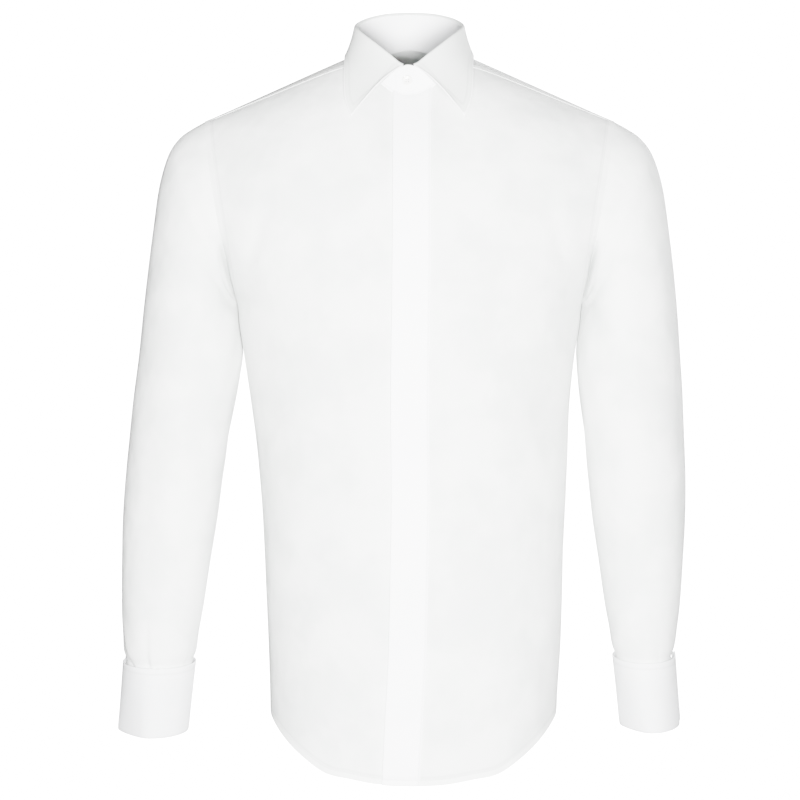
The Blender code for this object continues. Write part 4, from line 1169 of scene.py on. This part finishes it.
# Each finish: the cloth's colour, and that of its darker patches.
PLAIN_WHITE = (0.78, 0.795, 0.78), (0.665, 0.69, 0.675)
# The collar's poplin is darker than the body's: painted shade.
SHADED_COLLAR_WHITE = (0.71, 0.735, 0.71), (0.65, 0.675, 0.655)
CUFF_WHITE = (0.80, 0.81, 0.82), (0.73, 0.74, 0.75)
CRISP_WHITE = (0.955, 0.96, 0.97), (0.92, 0.93, 0.94)
FELLED = ("armhole", 0.0085, 0.0003, 0.0076, 0.00014)
SIDE_SEAM = ("seam", 0.006, 0.0002, 0.0052, 0.00012)
HEM_BAND = ("hem", 0.008, 0.0003, 0.0068, 0.00012)
PAINTED_SHADE_LINE = ("edge", 0.0, 0.0007, 0.9, 0.0)  # a painted shade line, without a band or stitches
BODY_CLOTH = poplin("body_poplin", PLAIN_WHITE, [FELLED, SIDE_SEAM, HEM_BAND, PAINTED_SHADE_LINE])
YOKE_CLOTH = poplin("yoke_poplin", PLAIN_WHITE, [FELLED, ("seam", 0.008, 0.0002, 0.0016, 0.00008)])
SLEEVE_CLOTH = poplin("sleeve_poplin", PLAIN_WHITE, [SIDE_SEAM, PAINTED_SHADE_LINE])
PATCH_CLOTH = poplin("patch_poplin", PLAIN_WHITE, [("edge", 0.0, 0.0, 0.0016, 0.0)])
PLACKET_CLOTH = poplin(
    "placket_poplin", CRISP_WHITE,
    [("seam", 0.0, 0.0, 0.0018, 0.00006), ("tack", 0.0, 0.0, 0.0, 0.00006),
     ("hem", 0.008, 0.0002, 0.0068, 0.00005)],
    undulation=0.3,
)
# Its edge band is made much paler: a painted highlight along the leaf's turned edge.
COLLAR_CLOTH = poplin(
    "collar_poplin", SHADED_COLLAR_WHITE, [("edge", 0.001, 0.00012, 0.006, 0.00005)],
    undulation=0.15, band_share=1.0, band_gain=1.35,
)
BAND_CLOTH = poplin(
    "band_poplin", CRISP_WHITE, [("edge", 0.0, 0.0, 0.002, 0.00004)], undulation=0.15
)
CUFF_CLOTH = poplin(
    "cuff_poplin", CUFF_WHITE, [("edge", 0.0, 0.0, 0.006, 0.00006)], undulation=0.2,
    holes="hole",
)

# --- the shirt

SIDES = ((LEFT, "left"), (RIGHT, "right"))
PLACKET_REST = 0.15
PLACKET_TACKS = (-642.5, -552.0, -462.0, -372.0, -282.0, -192.0, -105.0)
PATCH_ROWS, PATCH_COLUMNS = slice(78, 109), {LEFT: slice(116, 129), RIGHT: slice(16, 29)}
PATCH_REST, PATCH_THICK = 0.1, 0.9
PATCH_POINT = 0.09  # how far the corners of its upper end are cut back, in shares of its length
CUFF_HOLE_ROWS, CUFF_HOLE_COLUMNS = (2, 14), (slice(3, 11), slice(-11, -3))


def worn(points, side):
    """Points of a left-hand line or grid as they lie on the worn shirt, on either side."""
    points = points * (side, 1.0, 1.0)
    points[..., 0] += read(TORSO, "sway", points[..., 2])
    return points


def worn_sheet(sheet, side, anchor):
    """The panel as it is worn. anchor is the column from which its weave is laid out."""
    if side == RIGHT:
        sheet = mirrored(sheet)
    return {**sheet, "points": worn(sheet["points"], 1), "anchor": anchor}


def low_part(line):
    """The stretch of an armhole seam that lies in the crease under the arm."""
    return line[line[:, 2] < CREASE_FULL]


def panel_lines(points, sides, hem):
    """The edges of a front or back panel by kind, as they lie on the worn shirt."""
    edges = {
        "armhole": points[LOWER_ROWS:, -1], "seam": points[: LOWER_ROWS + 1, -1], "hem": hem,
        "yoke": points[-1],
    }
    return {kind: [worn(line, side) for side in sides] for kind, line in edges.items()}


def make_body():
    """Both fronts, the placket, the back and the yoke."""
    for side, word in SIDES:
        strip, main = make_front(side, OVER_LAP if side == LEFT else UNDER_LAP)
        if side == RIGHT:
            sink_under_lap(strip, main)
        points = main["points"]
        hem = np.concatenate([strip["points"][0], points[0, 1:]])
        lines = panel_lines(points, [side], hem)
        lines["lap"] = [worn(points[:, 0], side)]
        strip, main = worn_sheet(strip, side, min(-side, 0)), worn_sheet(main, side, min(side, 0))
        main = pressed(main, lines, FRONT_FOLDS, ["armhole"])
        cover = moved_out(strip, PLACKET_REST, DOUBLE)
        free, sewn = cover["points"][:, 0], cover["points"][:, -1]
        # Edge lines get a painted shade line: in the crease under the arm and, on the left, beside
        # the placket's free edge.
        lines["edge"] = [low_part(lines["armhole"][0])] + ([free] if side == LEFT else [])
        cloth_piece(
            word + "_front", [strip, main], lines, CLOTH, BODY_CLOTH, "front_" + word,
            (side * 100, -500, -300),
        )
        if side == LEFT:
            rail = strip["points"][:, 0, 2]
            tacks = [
                strip["points"][np.argmin(np.abs(rail - level)), :7] for level in PLACKET_TACKS
            ]
            lines = {"seam": [sewn], "tack": tacks, "hem": [cover["points"][0]], "edge": [free]}
            cloth_piece(
                "placket", [cover], lines, DOUBLE, PLACKET_CLOTH, "fly_placket",
                (0, -500, -300), rounded=0.4,
            )
    half = make_back()
    lines = panel_lines(half["points"], (LEFT, RIGHT), half["points"][0])
    back = pressed(worn_sheet(joined(half), LEFT, COLUMNS), lines, BACK_FOLDS, ["armhole"])
    cloth_piece(
        "back_panel", [back], lines, CLOTH, BODY_CLOTH, "back", (0, 500, -300)
    )
    half = make_yoke()
    edge = half["points"]
    lines = {
        "armhole": [worn(edge[:, -1], side) for side in (LEFT, RIGHT)],
        "seam": [worn(edge[row], side) for side in (LEFT, RIGHT) for row in (0, -1)],
    }
    yokes = [
        pressed(worn_sheet(half, side, min(side, 0)), lines, (), ["armhole", "seam"])
        for side in (LEFT, RIGHT)
    ]
    cloth_piece("yoke_panel", yokes, lines, CLOTH, YOKE_CLOTH, "yoke", (0, 0, 500))


def pointed(patch):
    """A placket strip whose upper end comes to a point."""
    rows, columns = patch["points"].shape[:2]
    start = PATCH_POINT * np.abs(np.linspace(-1, 1, columns))
    places = between(start, 1, np.linspace(0, 1, rows)[:, None]) * (rows - 1)
    row = np.minimum(places.astype(int), rows - 2)
    share, column = (places - row)[..., None], np.arange(columns)
    return {
        name: between(values[row, column], values[row + 1, column], share)
        for name, values in patch.items()
    }


def make_arms():
    """Both sleeves, the plackets over their slits, and the cuffs."""
    for side, word in SIDES:
        sleeve = make_sleeve(side)
        points = sleeve["points"]
        # The sleeve's edge line gets a painted shade line in the crease under the arm.
        cloth_piece(
            word + "_sleeve", [sleeve],
            {"seam": [points[:, ARM_STEPS // 2]], "edge": [low_part(points[0])]}, CLOTH,
            SLEEVE_CLOTH, "sleeve_" + word, (side * 900, 0, -300),
        )
        patch = {name: values[PATCH_ROWS, PATCH_COLUMNS[side]] for name, values in sleeve.items()}
        patch = pointed(moved_out(patch, PATCH_REST, PATCH_THICK))
        edge = patch["points"]
        cloth_piece(
            word + "_sleeve_placket", [patch], {"edge": [edge[:, 0], edge[:, -1], edge[0]]},
            PATCH_THICK, PATCH_CLOTH, "sleeve_placket_" + word,
            (side * 250, 900, -560), rounded=0.3,
        )
        rows = make_cuff(side)
        holes = [rows[row, columns] for row in CUFF_HOLE_ROWS for columns in CUFF_HOLE_COLUMNS]
        cloth_piece(
            word + "_cuff", [{"points": rows}],
            {"edge": [rows[-1], rows[:, 0], rows[:, -1]], "seam": [rows[0]], "hole": holes},
            DOUBLE, CUFF_CLOTH, "cuff_" + word,
            (side * (CUFF_RIM["x"] + 10), CUFF_RIM["y"], -675), rounded=0.4, inside_out=True,
        )


def make_collar():
    """The band, the leaf and the band's button."""
    stand = make_stand()
    points = stand["points"]
    cloth_piece(
        "collar_band", [stand], {"edge": [points[0]], "seam": [points[:, 0], points[:, -1]]},
        WALL, BAND_CLOTH, "collar_stand", (0, 500, 0), rounded=0.3,
    )
    leaf = make_leaf()
    edge, last = leaf["points"], ROLL_ROWS - 1
    cloth_piece(
        "collar_leaf_cloth", [leaf],
        {"edge": [edge[-1], edge[last:, 0], edge[last:, -1]], "seam": [edge[0]]},
        DOUBLE, COLLAR_CLOTH, "collar_leaf", (0, 500, 20), rounded=0.4,
    )
    column = np.argmin(np.abs(points[-1, : STAND_STEPS // 4, 0]))
    normal = outward_of(stand)[BAND_ROWS // 2, column]
    centre = points[BUTTON_ROWS, column].mean(axis=0) + BUTTON_REST * normal
    level = unit(np.cross((0.0, 0.0, 1.0), normal))
    turn = np.stack([level, np.cross(normal, level), normal], axis=1)
    shell = pearl("shell_button", centre, turn)
    make_button("neck_button", centre, turn, shell, sewing_thread())


make_body()
make_arms()
make_collar()


# --- studio

LOOK_AT = Vector((-0.010, 0.0, -0.366))
EYE_AWAY, EYE_TURN, EYE_HEIGHT = 3.05, math.radians(1.0), -0.06
EYE = Vector((EYE_AWAY * math.sin(EYE_TURN), -EYE_AWAY * math.cos(EYE_TURN), EYE_HEIGHT))
FRAME_WIDTH = 0.86528  # metres across the frame at the shirt
SENSOR = 36.0
FLOOR, ROOM_TOP, FLOOR_TURN, ROOM_HALF = -1.25, 5.0, 1.6, 6.4
ROOM_GLOW, WORLD_GLOW = 25.0, 0.08
# Each soft light: its place and aim, its width and height in metres, and its watts.
LIGHTS = {
    "front_box": ((0.12, -2.1, -0.38), (0, 0, -0.36), 0.5, 0.5, 425),
    "top_box": ((-1.0, -1.6, 2.0), (-0.1, 0, -0.1), 1.0, 0.8, 90),
    "back_box": ((2.1, 3.6, 0.9), (0, 0, -0.4), 0.8, 1.2, 900),
}


def aimed(name, data, place, target):
    """An object of the studio in its place, turned to look at a point."""
    made = bpy.data.objects.new(name, data)
    made.location = place
    made.rotation_euler = (Vector(target) - made.location).to_track_quat("-Z", "Y").to_euler()
    bpy.context.scene.collection.objects.link(made)
    return made


def pale_room():
    """A round floor that turns up into a wall on every side, lit from within."""
    material, tree = surface("pale_paper", {
        "Base Color": (0.93, 0.93, 0.93, 1), "Emission Color": (1, 1, 1, 1),
        "Emission Strength": ROOM_GLOW,
    })
    grain = ramp(noise(object_place(tree), 40.0), 0.3, 0.7, 0.85, 0.95)
    feed(tree.nodes["Principled BSDF"].inputs["Roughness"], grain)
    shell = bmesh.new()
    rim = shell.verts.new((ROOM_HALF - FLOOR_TURN, 0, FLOOR))
    shell.edges.new((shell.verts.new((0, 0, FLOOR)), rim))
    turn = bmesh.ops.spin(
        shell, geom=[rim], cent=(ROOM_HALF - FLOOR_TURN, 0, FLOOR + FLOOR_TURN),
        axis=(0, -1, 0), angle=math.pi / 2, steps=16,
    )
    last = next(made for made in turn["geom_last"] if isinstance(made, bmesh.types.BMVert))
    shell.edges.new((last, shell.verts.new((last.co.x, 0, ROOM_TOP))))
    spun(shell, shell.verts[:], shell.edges[:], 96, 1e-4)
    room = linked("pale_room", shell, material)
    room.visible_diffuse = room.visible_glossy = False


def make_studio():
    pale_room()
    camera = aimed("camera", bpy.data.cameras.new("camera"), EYE, LOOK_AT)
    camera.data.sensor_width = SENSOR
    camera.data.lens = SENSOR * (LOOK_AT - EYE).length / FRAME_WIDTH
    bpy.context.scene.camera = camera
    for name, (place, target, width, height, watts) in LIGHTS.items():
        light = bpy.data.lights.new(name, "AREA")
        light.shape = "RECTANGLE"
        light.size, light.size_y, light.energy = width, height, watts
        aimed(name, light, place, target).visible_camera = False
    world = bpy.data.worlds.new("studio")
    bpy.context.scene.world = world
    world.use_nodes = True
    world.node_tree.nodes["Background"].inputs["Color"].default_value = (1, 1, 1, 1)
    world.node_tree.nodes["Background"].inputs["Strength"].default_value = WORLD_GLOW


make_studio()
